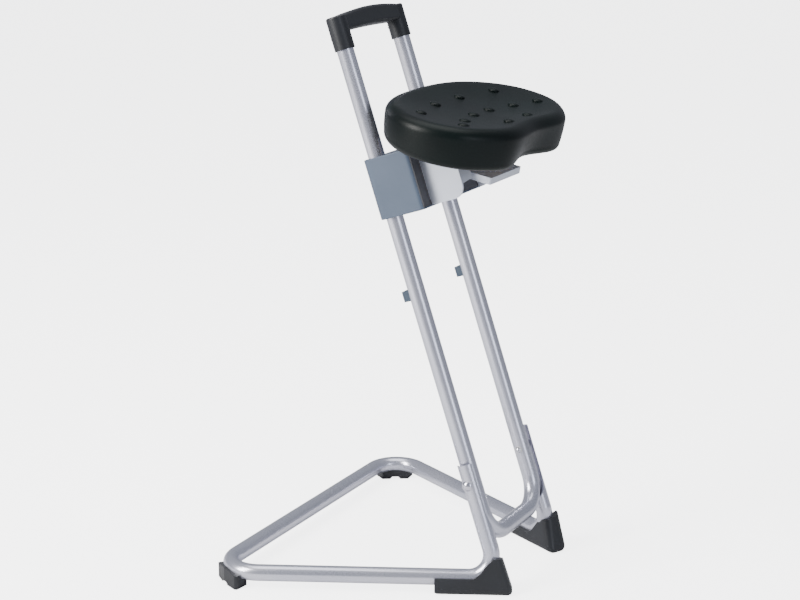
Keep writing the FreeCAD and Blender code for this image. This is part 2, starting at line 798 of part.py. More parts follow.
# Carriage housing: a shell open at the front, round both uprights
carriage_place = upright_place.multiply(
    Placement(Vector(0, 0, size("carriage_height")), Rotation())
)
housing_half = size("housing_width") / 2
housing_top = size("housing_height")
wall = size("housing_wall")
inner_half = housing_half - wall
inner_bottom = wall
inner_top = housing_top - wall
inner_rear = size("housing_rear") - wall


def upright_edges(shape, y, least_length):
    """Edges along the tubes that lie on one plane across them."""
    return [
        edge
        for edge in shape.Edges
        if abs(edge.CenterOfMass.y - y) < TOUCH
        and abs(edge.Vertexes[0].Point.z - edge.Vertexes[-1].Point.z) > least_length
    ]


def housing_shell():
    front_y = -size("housing_front")
    rear_y = size("housing_rear")
    outer = box((-housing_half, housing_half), (front_y, rear_y), (0, housing_top))
    tall = size("housing_height") / 2
    outer = outer.makeFillet(
        size("housing_rear_radius"), upright_edges(outer, rear_y, tall)
    )
    outer = outer.makeFillet(
        size("housing_front_radius"), upright_edges(outer, front_y, tall)
    )
    rims = [
        edge
        for edge in outer.Edges
        if min(abs(edge.CenterOfMass.z - housing_top), abs(edge.CenterOfMass.z)) < TOUCH
        and edge.CenterOfMass.y > front_y + TOUCH
    ]
    outer = outer.makeFillet(wall / 2, rims)
    inner = box(
        (-inner_half, inner_half),
        (front_y - wall, rear_y - wall),
        (inner_bottom, inner_top),
    )
    inner = inner.makeFillet(
        size("housing_rear_radius") - wall,
        upright_edges(inner, inner_rear, tall),
    )
    shell = outer.cut(inner)
    hole_radius = TUBE_RADIUS + size("housing_hole_gap")
    for side_name, side in SIDES:
        shell = shell.cut(
            rod(
                hole_radius,
                Vector(side * LEG_X, 0, -wall),
                Vector(side * LEG_X, 0, housing_top + wall),
            )
        )
    for x, height in boss_spots:
        boss = rod(
            size("boss_diameter") / 2,
            Vector(x, inner_rear, height),
            Vector(x, -core_rear_face, height),
        )
        pilot = rod(
            size("small_screw") / 2,
            Vector(x, -core_rear_face + size("small_screw_length"), height),
            Vector(x, -core_rear_face, height),
        )
        shell = shell.fuse(boss).cut(pilot)
    return shell


core_rear_face = size("core_face") - size("core_thickness")
boss_spots = [
    (way * size("boss_spacing") / 2, height)
    for way in (-1, 1)
    for height in (size("boss_margin"), housing_top - size("boss_margin"))
]
feature("carriage_housing", housing_shell(), carriage_place)
housing_screws = []
for x, height in boss_spots:
    head_seat = Vector(x, -size("core_face"), height)
    head_front = head_seat - Vector(0, size("small_screw_head_height"), 0)
    tip = head_seat + Vector(0, size("small_screw_length"), 0)
    head = rod(size("small_screw_head") / 2, head_front, head_seat)
    housing_screws.append(head.fuse(rod(size("small_screw") / 2, head_seat, tip)))
feature("housing_screws", Part.makeCompound(housing_screws), carriage_place)

# Places shared by the lever, the bracket and the front panel
rim_centre = Vector(0, -size("seat_forward"), size("seat_rise"))
rim_angle = size("lean_angle") + size("seat_tilt")
rim_local = Placement(rim_centre, Rotation(ACROSS, rim_angle))
seat_angle = math.radians(rim_angle + size("seat_wedge"))
seat_local = Placement(rim_centre, Rotation(ACROSS, rim_angle + size("seat_wedge")))
seat_place = carriage_place.multiply(seat_local)
cheek_outer = size("cheek_span") / 2
cheek_inner = cheek_outer - size("cheek_thickness")
fit = size("fit_gap")
pin_forward = size("lever_pin_forward")
pin_height = size("lever_pin_height")
lever_half = size("lever_width") / 2


def from_rim(x, back, rise):
    """Point given from the seat's rim, in the carriage's frame."""
    return rim_local.multVec(Vector(x, back, rise))


def back_of_rim(forward, rise):
    """Distance behind the rim's centre of a point that far forward of the tubes."""
    turn = math.radians(rim_angle)
    return (size("seat_forward") + rise * math.sin(turn) - forward) / math.cos(turn)


def forward_and_along(x, points):
    """Points at one X from pairs of distances forward of and along the tubes."""
    return [Vector(x, -forward, along) for forward, along in points]


# Front panel of the carriage: closes the housing round the bracket and the lever
panel_body = finish(document.addObject("PartDesign::Body", "carriage_front_panel"))
panel_sketch = sketch_on(panel_body, "XZ_Plane", "panel_outline")
panel_half = inner_half - fit
panel_bottom = inner_bottom + fit
panel_top = inner_top - fit
slot_inner = cheek_inner - fit
slot_outer = cheek_outer + fit
slot_top = size("cheek_slot_top") + fit
sketch_polygon(
    panel_sketch,
    [
        (-panel_half, panel_bottom),
        (-slot_outer, panel_bottom),
        (-slot_outer, slot_top),
        (-slot_inner, slot_top),
        (-slot_inner, panel_bottom),
        (slot_inner, panel_bottom),
        (slot_inner, slot_top),
        (slot_outer, slot_top),
        (slot_outer, panel_bottom),
        (panel_half, panel_bottom),
        (panel_half, panel_top),
        (-panel_half, panel_top),
    ],
)
sketch_rectangle(
    panel_sketch,
    -lever_half - size("window_margin"),
    lever_half + size("window_margin"),
    pin_height - size("window_below"),
    pin_height + size("window_above"),
)
panel_pad = panel_body.newObject("PartDesign::Pad", "panel_pad")
panel_pad.Profile = panel_sketch
panel_pad.setExpression("Length", "sizes.housing_wall")
panel_rear = Vector(0, wall + fit - size("housing_front"), 0)
panel_body.Placement = carriage_place.multiply(Placement(panel_rear, Rotation()))

# Carriage core: a pressed steel channel that carries the bushes, the lock and the bracket
core_thickness = size("core_thickness")
core_bottom = inner_bottom + fit
core_top = inner_top - fit
core_rear = inner_rear - fit
plate_slope = math.tan(math.radians(size("plate_tilt")))
bush_radius = TUBE_RADIUS + size("running_fit") + size("guide_bush_wall")
bolt_heights = (size("bolt_low"), size("bolt_high"))
bolt_radius = size("bolt_diameter") / 2
pin_radius = size("lever_pin_diameter") / 2


def plate_top_at(forward):
    """Height of the tilted locking plate's top face."""
    return size("plate_top") + (forward + size("plate_rear")) * plate_slope


def cross_holes(x_from, x_to):
    """Bolt and pin holes through the cheeks and ears of one side."""
    holes = side_rod(pin_radius, x_from, x_to, pin_forward, pin_height)
    for height in bolt_heights:
        hole = side_rod(bolt_radius, x_from, x_to, size("bolt_forward"), height)
        holes = holes.fuse(hole)
    return holes


def carriage_core():
    core_half = inner_half - fit
    flange_half = size("core_flange_width") / 2
    face_range = (-size("core_face"), -core_rear_face)
    core = box((-core_half, core_half), face_range, (core_bottom, core_top))
    for low in (core_bottom, core_top - core_thickness):
        flange = box(
            (-flange_half, flange_half),
            (-core_rear_face, core_rear),
            (low, low + core_thickness),
        )
        rear_corners = upright_edges(flange, core_rear, core_thickness / 2)
        flange = flange.makeFillet(size("housing_rear_radius") - wall, rear_corners)
        core = core.fuse(flange)
    window_half = size("core_window_width") / 2
    window_bottom = size("core_window_bottom")
    core = core.cut(
        box(
            (-window_half, window_half),
            (-2 * size("core_face"), 0),
            (window_bottom, window_bottom + size("core_window_height")),
        )
    )
    for side_name, side in SIDES:
        ear_x = sorted((side * (cheek_inner - core_thickness), side * cheek_inner))
        ear = box(
            ear_x,
            (-size("core_face") - size("ear_reach"), -size("core_face")),
            (size("cheek_slot_bottom"), size("cheek_slot_top")),
        )
        rib_x = side * (window_half + core_thickness)
        rib = prism(
            forward_and_along(
                rib_x,
                [
                    (core_rear_face, plate_top_at(core_rear_face) + core_thickness),
                    (core_rear_face, plate_top_at(core_rear_face) + size("rib_height")),
                    (-size("plate_rear"), size("plate_top") + size("rib_height")),
                    (-size("plate_rear"), size("plate_top") + size("end_gap")),
                ],
            ),
            ACROSS * side * core_thickness,
        )
        core = core.fuse(ear).fuse(rib)
    for side_name, side in SIDES:
        bush_room = rod(
            bush_radius,
            Vector(side * LEG_X, 0, 0),
            Vector(side * LEG_X, 0, housing_top),
        )
        core = core.cut(bush_room)
        core = core.cut(cross_holes(side * cheek_outer, side * (cheek_inner - 2 * core_thickness)))
    for x, height in boss_spots:
        core = core.cut(
            rod(
                size("small_screw") / 2,
                Vector(x, -2 * size("core_face"), height),
                Vector(x, -core_rear_face, height),
            )
        )
    return core.removeSplitter()


feature("carriage_core", carriage_core(), carriage_place)

# Guide bushes: plastic rings between the carriage and the uprights
for level, bush_bottom in (
    ("lower", core_bottom),
    ("upper", core_top - size("guide_bush_length")),
):
    for side_name, side in SIDES:
        ending = level + "_" + side_name
        foot = Vector(side * LEG_X, 0, bush_bottom)
        ring = primitive(
            "Cylinder",
            "guide_bush_blank_" + ending,
            {
                "Radius": "sizes.tube_diameter / 2 + sizes.running_fit + sizes.guide_bush_wall",
                "Height": "sizes.guide_bush_length",
            },
            foot,
        )
        bore = primitive(
            "Cylinder",
            "guide_bush_bore_" + ending,
            {
                "Radius": "sizes.tube_diameter / 2 + sizes.running_fit",
                "Height": "sizes.guide_bush_length",
            },
            foot,
        )
        finish(boolean("Cut", "guide_bush_" + ending, ring, bore, carriage_place))

# Seat bracket: two pressed cheeks, their front flanges and the plate under the seat
seat_underside = -size("seat_thickness")


def under_seat_back(forward):
    """Distance behind the seat centre of a point on its underside."""
    run = size("seat_forward") + seat_underside * math.sin(seat_angle) - forward
    return run / math.cos(seat_angle)


def under_seat(forward):
    """Height of the seat's underside, that far forward of the tubes."""
    rise = under_seat_back(forward) * math.sin(seat_angle)
    return size("seat_rise") + rise + seat_underside * math.cos(seat_angle)


def cheek():
    thickness = size("cheek_thickness")
    front = size("cheek_front")
    neck_front = size("housing_front") + fit
    corner = size("cheek_front_bottom") - size("cheek_bottom")
    corner_start = front - corner
    arc_shift = corner * (1 - math.sqrt(0.5))
    places = [
        (size("core_face") + fit, size("cheek_slot_bottom")),
        (neck_front, size("cheek_slot_bottom")),
        (neck_front, size("cheek_bottom")),
        (corner_start, size("cheek_bottom")),
        (front, size("cheek_front_bottom")),
        (front, under_seat(front)),
        (neck_front, under_seat(neck_front)),
        (neck_front, size("cheek_slot_top")),
        (size("core_face") + fit, size("cheek_slot_top")),
    ]
    corners = forward_and_along(cheek_inner, places)
    middle = Vector(cheek_inner, arc_shift - front, size("cheek_bottom") + arc_shift)
    edges = []
    for start, end in zip(corners, corners[1:] + corners[:1]):
        if start is corners[3]:
            edges.append(Part.Arc(start, middle, end).toShape())
        else:
            edges.append(Part.LineSegment(start, end).toShape())
    return Part.Face(Part.Wire(edges)).extrude(ACROSS * thickness)


def front_flange():
    thickness = size("cheek_thickness")
    inner_x = size("bracket_front_span") / 2
    front = size("cheek_front")
    inner_front = front + size("bracket_front_run")
    low = size("cheek_front_bottom")
    outline = [
        Vector(cheek_outer, -front, low),
        Vector(inner_x, -inner_front, low + size("bracket_front_rise")),
        Vector(inner_x, -inner_front, under_seat(inner_front)),
        Vector(cheek_outer, -front, under_seat(front)),
    ]
    inward = Vector(-size("bracket_front_run"), cheek_outer - inner_x, 0).normalize()
    return prism(outline, inward * thickness)


seat_screw_spots = [
    (way * size("seat_screw_spacing") / 2, back)
    for way in (-1, 1)
    for back in (size("seat_screw_rear"), size("seat_screw_front"))
]


def seat_bracket():
    thickness = size("cheek_thickness")
    plate = box(
        (-cheek_outer, cheek_outer),
        (under_seat_back(size("cheek_front")), size("insert_rear")),
        (seat_underside - thickness, seat_underside),
    )
    for x, back in seat_screw_spots:
        hole = rod(
            size("seat_screw") / 2,
            Vector(x, back, seat_underside - 2 * thickness),
            Vector(x, back, seat_underside + thickness),
        )
        plate = plate.cut(hole)
    plate.Placement = seat_local
    bracket = plate
    for side_name, side in SIDES:
        bracket = bracket.fuse(sided(cheek(), side)).fuse(sided(front_flange(), side))
        bracket = bracket.cut(
            cross_holes(side * (cheek_inner - thickness), side * (cheek_outer + thickness))
        )
    return bracket.removeSplitter()


feature("seat_bracket", seat_bracket(), carriage_place)


def hexagon(x, forward, along, length):
    """Hexagonal head or nut that starts at x and runs along X by the signed length."""
    radius = size("bolt_head") / 2
    corners = []
    for step in range(6):
        turn = math.radians(60 * step)
        corners.append(
            Vector(x, -forward + radius * math.cos(turn), along + radius * math.sin(turn))
        )
    return prism(corners, ACROSS * length)


bolts = []
nuts = []
nut_x = cheek_inner - core_thickness
for side_name, side in SIDES:
    for height in bolt_heights:
        forward = size("bolt_forward")
        head = hexagon(side * cheek_outer, forward, height, side * size("bolt_head_height"))
        shank_end = side * (nut_x - size("nut_height") - size("bolt_end"))
        shank = side_rod(bolt_radius, shank_end, side * cheek_outer, forward, height)
        bolts.append(head.fuse(shank))
        nut = hexagon(side * nut_x, forward, height, -side * size("nut_height"))
        nuts.append(nut.cut(shank))
feature("bracket_bolts", Part.makeCompound(bolts), carriage_place)
feature("bracket_nuts", Part.makeCompound(nuts), carriage_place)


# Release lever: a pressed paddle under the front of the seat
def release_lever():
    thickness = size("lever_thickness")
    top = -size("lever_drop")
    low = top - size("lever_lip")
    front = -size("lever_front")
    web_rear = back_of_rim(size("lever_web_rear"), top)
    web = box((-lever_half, lever_half), (front, web_rear), (top - thickness, top))
    lip = box((-lever_half, lever_half), (front, front + thickness), (low, top))
    lever = web.fuse(lip)
    front_edges = [
        edge
        for edge in lever.Edges
        if abs(edge.CenterOfMass.y - front) < TOUCH
        and abs(edge.Vertexes[0].Point.z - edge.Vertexes[1].Point.z) > thickness
    ]
    lever = lever.makeFillet(size("lever_bend_radius"), front_edges)
    lever.Placement = rim_local
    tail = size("lever_tail")
    tail_low = plate_top_at(tail) + size("end_gap")
    tongue_end = size("plate_tongue") + size("end_gap")
    for side_name, side in SIDES:
        inner_x = side * (lever_half - thickness)
        flange_front = front + thickness
        outline = [
            from_rim(inner_x, flange_front, top),
            from_rim(inner_x, flange_front, low),
            from_rim(inner_x, back_of_rim(size("housing_front"), low), low),
        ]
        outline += forward_and_along(
            inner_x,
            [
                (pin_forward - pin_radius, pin_height - size("lever_lug")),
                (tongue_end, plate_top_at(tongue_end) + size("end_gap")),
                (tail, tail_low),
                (tail, tail_low + size("lever_tail_height")),
                (pin_forward - size("lever_lug") - pin_radius, pin_height + size("lever_lug")),
            ],
        )
        outline.append(from_rim(inner_x, web_rear, top))
        lever = lever.fuse(prism(outline, ACROSS * side * thickness))
    pin_room = side_rod(
        pin_radius + size("running_fit"), -cheek_outer, cheek_outer, pin_forward, pin_height
    )
    return lever.cut(pin_room).removeSplitter()


feature("release_lever", release_lever(), carriage_place)

# The lever's pin, the tubes that centre the lever on it and its retaining clips
pin_end = cheek_outer + 2 * size("clip_thickness")
feature(
    "lever_pin",
    side_rod(pin_radius, -pin_end, pin_end, pin_forward, pin_height),
    carriage_place,
)


def ring_on_pin(x_from, x_to, radius):
    outer = side_rod(radius, x_from, x_to, pin_forward, pin_height)
    return outer.cut(side_rod(pin_radius, x_from, x_to, pin_forward, pin_height))


spacers = [
    ring_on_pin(
        side * (lever_half + size("end_gap")),
        side * (cheek_inner - core_thickness),
        size("lever_spacer_diameter") / 2,
    )
    for side_name, side in SIDES
]
feature("lever_spacers", Part.makeCompound(spacers), carriage_place)
clips = [
    ring_on_pin(
        side * cheek_outer,
        side * (cheek_outer + size("clip_thickness")),
        size("clip_diameter") / 2,
    )
    for side_name, side in SIDES
]
feature("pin_clips", Part.makeCompound(clips), carriage_place)

# Locking plate: tilts on the uprights and binds there until the lever levels it
tilt = math.radians(size("plate_tilt"))
lock_body = finish(document.addObject("PartDesign::Body", "locking_plate"))
lock_sketch = sketch_on(lock_body, "XY_Plane", "locking_plate_outline")
plate_half = size("plate_width") / 2
tongue_half = size("plate_tongue_width") / 2
plate_depth = size("plate_rear") + size("plate_front")
tongue_depth = size("plate_rear") + size("plate_tongue")
sketch_polygon(
    lock_sketch,
    [
        (-plate_half, 0),
        (-plate_half, -plate_depth),
        (-tongue_half, -plate_depth),
        (-tongue_half, -tongue_depth),
        (tongue_half, -tongue_depth),
        (tongue_half, -plate_depth),
        (plate_half, -plate_depth),
        (plate_half, 0),
    ],
)
lock_pad = lock_body.newObject("PartDesign::Pad", "locking_plate_pad")
lock_pad.Profile = lock_sketch
lock_pad.setExpression("Length", "sizes.plate_thickness")
hole_sketch = sketch_on(lock_body, "XY_Plane", "locking_plate_holes")
half_thickness = size("plate_thickness") / 2
hole_y = -(size("plate_rear") - half_thickness * math.sin(tilt)) / math.cos(tilt)
for side_name, side in SIDES:
    sketch_circle(hole_sketch, side * LEG_X, hole_y, TUBE_RADIUS + size("plate_hole_gap"))
lock_pocket = lock_body.newObject("PartDesign::Pocket", "locking_plate_notches")
lock_pocket.Profile = hole_sketch
lock_pocket.Type = "ThroughAll"
lock_pocket.Reversed = True
document.recompute()
rear_corner_names = [
    "Edge%d" % number
    for number, edge in enumerate(lock_pocket.Shape.Edges, start=1)
    if abs(edge.CenterOfMass.y) < TOUCH and abs(abs(edge.CenterOfMass.x) - plate_half) < TOUCH
]
lock_corners = lock_body.newObject("PartDesign::Fillet", "locking_plate_corners")
lock_corners.Base = (lock_pocket, rear_corner_names)
lock_corners.setExpression("Radius", "sizes.plate_corner")
plate_tilted = Placement(
    Vector(0, size("plate_rear"), size("plate_top")), Rotation(ACROSS, -size("plate_tilt"))
)
plate_lowered = Placement(Vector(0, 0, -size("plate_thickness")), Rotation())
lock_body.Placement = carriage_place.multiply(plate_tilted).multiply(plate_lowered)

# Springs that push the locking plate's front up
spring_bottom = core_bottom + core_thickness
spring_forward = size("spring_forward")
spring_top = plate_top_at(spring_forward) - size("plate_thickness") - size("spring_play")
spring_rise = spring_top - spring_bottom - size("spring_wire")
spring_radius = (size("spring_diameter") - size("spring_wire")) / 2
for side_name, side in SIDES:
    helix = Part.makeHelix(spring_rise / size("spring_turns"), spring_rise, spring_radius)
    wire_end = Part.Wire(
        Part.makeCircle(size("spring_wire") / 2, Vector(spring_radius, 0, 0), BACKWARD)
    )
    spring = Part.Wire(helix).makePipeShell([wire_end], True, True)
    foot = Vector(
        side * size("spring_offset"),
        -spring_forward,
        spring_bottom + size("spring_wire") / 2,
    )
    spring_place = carriage_place.multiply(Placement(foot, Rotation()))
    feature("lock_spring_" + side_name, spring, spring_place)

# Seat insert: the board moulded into the underside of the seat
insert_body = finish(document.addObject("PartDesign::Body", "seat_insert"))
insert_sketch = sketch_on(insert_body, "XY_Plane", "insert_outline")
insert_half = size("insert_width") / 2
insert_back = size("insert_rear")
insert_front = insert_back - size("insert_length")
sketch_rectangle(insert_sketch, -insert_half, insert_half, insert_front, insert_back)
insert_pad = insert_body.newObject("PartDesign::Pad", "insert_pad")
insert_pad.Profile = insert_sketch
insert_pad.setExpression("Length", "sizes.insert_thickness")
screw_sketch = sketch_on(insert_body, "XY_Plane", "insert_screw_holes")
for x, back in seat_screw_spots:
    sketch_circle(screw_sketch, x, back, size("seat_screw") / 2)
insert_holes = insert_body.newObject("PartDesign::Pocket", "insert_holes")
insert_holes.Profile = screw_sketch
insert_holes.setExpression("Length", "sizes.seat_screw_grip")
insert_holes.Reversed = True
document.recompute()
corner_names = [
    "Edge%d" % number
    for number, edge in enumerate(insert_holes.Shape.Edges, start=1)
    if len(edge.Vertexes) == 2
    and abs(edge.Vertexes[0].Point.z - edge.Vertexes[1].Point.z) > size("insert_thickness") / 2
    and abs(abs(edge.CenterOfMass.x) - insert_half) < TOUCH
]
insert_corners = insert_body.newObject("PartDesign::Fillet", "insert_corners")
insert_corners.Base = (insert_holes, corner_names)
insert_corners.setExpression("Radius", "sizes.insert_corner")
insert_body.Placement = seat_place.multiply(Placement(Vector(0, 0, seat_underside), Rotation()))

# Screws from under the bracket into the insert
seat_screws = []
for x, back in seat_screw_spots:
    head_top = seat_underside - size("cheek_thickness")
    head = rod(
        size("seat_screw_head") / 2,
        Vector(x, back, head_top - size("seat_screw_head_height")),
        Vector(x, back, head_top),
    )
    shank = rod(
        size("seat_screw") / 2,
        Vector(x, back, head_top),
        Vector(x, back, seat_underside + size("seat_screw_grip")),
    )
    seat_screws.append(head.fuse(shank))
feature("seat_screws", Part.makeCompound(seat_screws), seat_place)


# Seat: a dished foam seat with a hollow in the middle of its front edge.  Each pair is a
# share of the half width and of the depth behind or in front of the seat centre.
SEAT_OUTLINE_REAR = [(0.48, 0.93), (0.83, 0.64), (1.0, 0.2)]
SEAT_OUTLINE_FRONT = [(0.915, -0.52), (0.7, -0.85), (0.45, -1.0)]


def seat_outline():
    across = size("seat_half_width")
    half = [(x * across, y * size("seat_depth_rear")) for x, y in SEAT_OUTLINE_REAR]
    half += [(x * across, y * size("seat_depth_front")) for x, y in SEAT_OUTLINE_FRONT]
    points = [(0, size("seat_depth_rear"))] + half
    points.append((0, size("seat_notch") - size("seat_depth_front")))
    points += [(-x, y) for x, y in reversed(half)]
    curve = Part.BSplineCurve()
    curve.interpolate([Vector(x, y, seat_underside + fit) for x, y in points], PeriodicFlag=True)
    return Part.Wire(curve.toShape())


def seat_pad():
    blank_top = size("seat_thickness") / 4
    pad = Part.Face(seat_outline()).extrude(UPWARD * (blank_top - seat_underside))
    reach = 2 * size("seat_half_width")
    above_rim = box((-reach, reach), (-reach, reach), (0, reach))
    above_rim.Placement = Placement(Vector(), Rotation(ACROSS, -size("seat_wedge")))
    pad = pad.cut(above_rim)
    rim = [edge for edge in pad.Edges if edge.Closed and edge.CenterOfMass.z > seat_underside / 2]
    pad = pad.makeFillet(size("seat_rim_radius"), rim)
    foot = [
        edge
        for edge in pad.Edges
        if edge.Closed and abs(edge.CenterOfMass.z - seat_underside - fit) < TOUCH
    ]
    pad = pad.makeFillet(size("seat_foot_radius"), foot)
    hollow_rise = size("seat_half_width")
    spread = math.sqrt(1 - (1 - size("seat_dish") / hollow_rise) ** 2)
    half_across = size("seat_half_width") - size("seat_rim_radius")
    half_deep = (size("seat_depth_rear") + size("seat_depth_front")) / 2
    half_deep -= size("seat_rim_radius")
    stretch = FreeCAD.Matrix()
    stretch.scale(Vector(half_across / spread, half_deep / spread, hollow_rise))
    hollow = Part.makeSphere(1).transformGeometry(stretch)
    middle = (size("seat_depth_rear") - size("seat_depth_front")) / 2
    hollow.translate(Vector(0, middle, hollow_rise - size("seat_dish")))
    hollow.rotate(Vector(), ACROSS, -size("seat_wedge"))
    pad = pad.cut(hollow)
    pocket = box(
        (-insert_half - fit, insert_half + fit),
        (insert_front - fit, insert_back + fit),
        (seat_underside - fit, seat_underside + size("insert_thickness") + fit),
    )
    corners = [
        edge
        for edge in pocket.Edges
        if abs(edge.Vertexes[0].Point.z - edge.Vertexes[1].Point.z) > fit
    ]
    return pad.cut(pocket.makeFillet(size("insert_corner") + fit, corners))


feature("seat_pad", seat_pad(), seat_place)

# Check every object, then write one file for each sub-part
document.recompute()
for item in document.Objects:
    if {"Invalid", "Error"} & set(item.State):
        raise RuntimeError("%s failed: %s" % (item.Label, item.State))
labels = [item.Label for item in sub_parts]
if len(set(labels)) != len(labels):
    raise RuntimeError("two sub-parts share a label")
os.makedirs("parts", exist_ok=True)
for item in sub_parts:
    shape = item.Shape
    if shape.isNull() or not shape.isValid():
        raise RuntimeError("%s has no valid shape" % item.Label)
for item in sub_parts:
    item.Shape.exportStep("parts/%s.step" % item.Label)
    print("%-24s %2d solids %10.0f mm3" % (item.Label, len(item.Shape.Solids), item.Shape.Volume))
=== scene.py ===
# %% [markdown]
# A perch stool is a leaning seat: a dished foam pad on a carriage that slides on two
# leaning tubes. This lesson dresses the stool's fixed frame: it gives every metal and
# plastic piece its real finish, and models the soft seat as its own mesh.

# %% Load the frame
import math
import json

import bpy
import bmesh
import numpy as np
from mathutils import Matrix, Vector


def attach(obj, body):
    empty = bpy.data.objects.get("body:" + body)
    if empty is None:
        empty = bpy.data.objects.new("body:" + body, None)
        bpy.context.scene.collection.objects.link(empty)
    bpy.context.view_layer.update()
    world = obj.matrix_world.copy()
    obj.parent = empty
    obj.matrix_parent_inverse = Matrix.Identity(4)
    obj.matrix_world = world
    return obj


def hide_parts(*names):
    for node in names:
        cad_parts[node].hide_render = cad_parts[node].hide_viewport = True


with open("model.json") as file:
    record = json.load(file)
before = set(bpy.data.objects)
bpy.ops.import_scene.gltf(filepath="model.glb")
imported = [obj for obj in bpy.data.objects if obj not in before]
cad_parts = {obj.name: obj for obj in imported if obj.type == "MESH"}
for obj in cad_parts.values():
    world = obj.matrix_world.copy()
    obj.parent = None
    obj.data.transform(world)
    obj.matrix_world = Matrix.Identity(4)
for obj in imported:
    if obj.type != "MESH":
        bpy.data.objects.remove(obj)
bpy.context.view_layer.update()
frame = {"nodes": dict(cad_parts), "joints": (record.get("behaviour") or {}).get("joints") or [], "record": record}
nodes = frame["nodes"]

# %% [markdown]
# The seat, the housing and the tubes all lean, so two frames of reference save much
# arithmetic. The slide joint gives the direction of the uprights, and the seat's own
# frame has its origin at the middle of the rim, X across and Y towards the back.

# %% Directions and reference frames
MM = 0.001
SEAT_RIM_FORWARD = 141.2 * MM
SEAT_RIM_ALONG = 699.5 * MM
SEAT_TILT = math.radians(9.9)

PIVOT_ALONG = 172 * MM

joints = {joint["name"]: joint for joint in frame["joints"]}
along_tubes = Vector(joints["seat_height"]["axis"]).normalized()
lean = math.atan2(along_tubes.y, along_tubes.z)
floor_line = Vector(joints["frame_fold"]["pos_m"]) - along_tubes * PIVOT_ALONG
upright_frame = Matrix.Translation(floor_line) @ Matrix.Rotation(-lean, 4, "X")
rim_place = Matrix.Translation((0, -SEAT_RIM_FORWARD, SEAT_RIM_ALONG))
seat_frame = upright_frame @ rim_place @ Matrix.Rotation(lean + SEAT_TILT, 4, "X")
print("lean of the uprights", round(math.degrees(lean), 2))

# %% [markdown]
# Most of the stool is powder-coated tube and moulded plastic. Both have a fine, even
# grain and a slow change of tone across the surface. A shader node group makes that
# once: fine noise for the grain, coarse noise for the tone, both on Object coordinates,
# so the pattern needs no UV map and stays put when the piece moves.

# %% Helper: shader group sockets and links


def new_group(name, inputs, outputs):
    """Empty shader group with float or colour sockets; returns the group and its ends."""
    group = bpy.data.node_groups.new(name, "ShaderNodeTree")
    for label, kind, value in inputs:
        socket = group.interface.new_socket(label, in_out="INPUT", socket_type=kind)
        socket.default_value = value
    for label, kind in outputs:
        group.interface.new_socket(label, in_out="OUTPUT", socket_type=kind)
    start = group.nodes.new("NodeGroupInput")
    end = group.nodes.new("NodeGroupOutput")
    return group, start, end


def noise_node(tree, scale, detail, roughness=0.5):
    """Noise texture on Object coordinates; scale may be a socket or a number."""
    place = tree.nodes.new("ShaderNodeTexCoord")
    noise = tree.nodes.new("ShaderNodeTexNoise")
    noise.inputs["Detail"].default_value = detail
    noise.inputs["Roughness"].default_value = roughness
    tree.links.new(place.outputs["Object"], noise.inputs["Vector"])
    if isinstance(scale, bpy.types.NodeSocket):
        tree.links.new(scale, noise.inputs["Scale"])
    else:
        noise.inputs["Scale"].default_value = scale
    return noise


def ranged(tree, value, low, high):
    """Map a 0..1 value to a range given by sockets or numbers."""
    spread = tree.nodes.new("ShaderNodeMapRange")
    tree.links.new(value, spread.inputs["Value"])
    for socket, limit in (("To Min", low), ("To Max", high)):
        if isinstance(limit, bpy.types.NodeSocket):
            tree.links.new(limit, spread.inputs[socket])
        else:
            spread.inputs[socket].default_value = limit
    return spread.outputs["Result"]


def mixed(tree, factor, first, second, blend="MIX"):
    """Colour mix of two sockets or colours by a factor socket or number."""
    mix = tree.nodes.new("ShaderNodeMix")
    mix.data_type = "RGBA"
    mix.blend_type = blend
    for index, item in ((0, factor), (6, first), (7, second)):
        if isinstance(item, bpy.types.NodeSocket):
            tree.links.new(item, mix.inputs[index])
        else:
            mix.inputs[index].default_value = item
    return mix.outputs[2]


print("helpers for shader trees are ready")

# %% Group: grained surface
TONE_CLOUD_LOW = 0.3
TONE_CLOUD_HIGH = 0.7


def make_grain_group():
    group, start, end = new_group(
        "Grained surface",
        [
            ("Light tone", "NodeSocketColor", (0.7, 0.7, 0.7, 1)),
            ("Dark tone", "NodeSocketColor", (0.5, 0.5, 0.5, 1)),
            ("Grain scale", "NodeSocketFloat", 1200.0),
            ("Tone scale", "NodeSocketFloat", 9.0),
            ("Smooth roughness", "NodeSocketFloat", 0.3),
            ("Coarse roughness", "NodeSocketFloat", 0.4),
        ],
        [
            ("Color", "NodeSocketColor"),
            ("Roughness", "NodeSocketFloat"),
            ("Height", "NodeSocketFloat"),
        ],
    )
    grain = noise_node(group, start.outputs["Grain scale"], 3.0, 0.6)
    tone = noise_node(group, start.outputs["Tone scale"], 2.0)
    steep = group.nodes.new("ShaderNodeMapRange")
    steep.inputs["From Min"].default_value = TONE_CLOUD_LOW
    steep.inputs["From Max"].default_value = TONE_CLOUD_HIGH
    group.links.new(tone.outputs["Fac"], steep.inputs["Value"])
    light = start.outputs["Light tone"]
    dark = start.outputs["Dark tone"]
    colour = mixed(group, steep.outputs["Result"], light, dark)
    smooth = start.outputs["Smooth roughness"]
    coarse = start.outputs["Coarse roughness"]
    rough = ranged(group, grain.outputs["Fac"], smooth, coarse)
    group.links.new(colour, end.inputs["Color"])
    group.links.new(rough, end.inputs["Roughness"])
    group.links.new(grain.outputs["Fac"], end.inputs["Height"])
    return group


grain_group = make_grain_group()
print("group", grain_group.name)

# %% [markdown]
# Dust settles on faces that look up and stays longer where hands don't wipe it. The
# second group gives a soft mask: the upward part of the surface normal times a cloudy
# noise. Each material mixes a paler tone into its colour with it, by its own amount.

# %% Group: settled dust
DUST_LEAST_RISE = 0.2
DUST_CLOUD_SCALE = 60.0


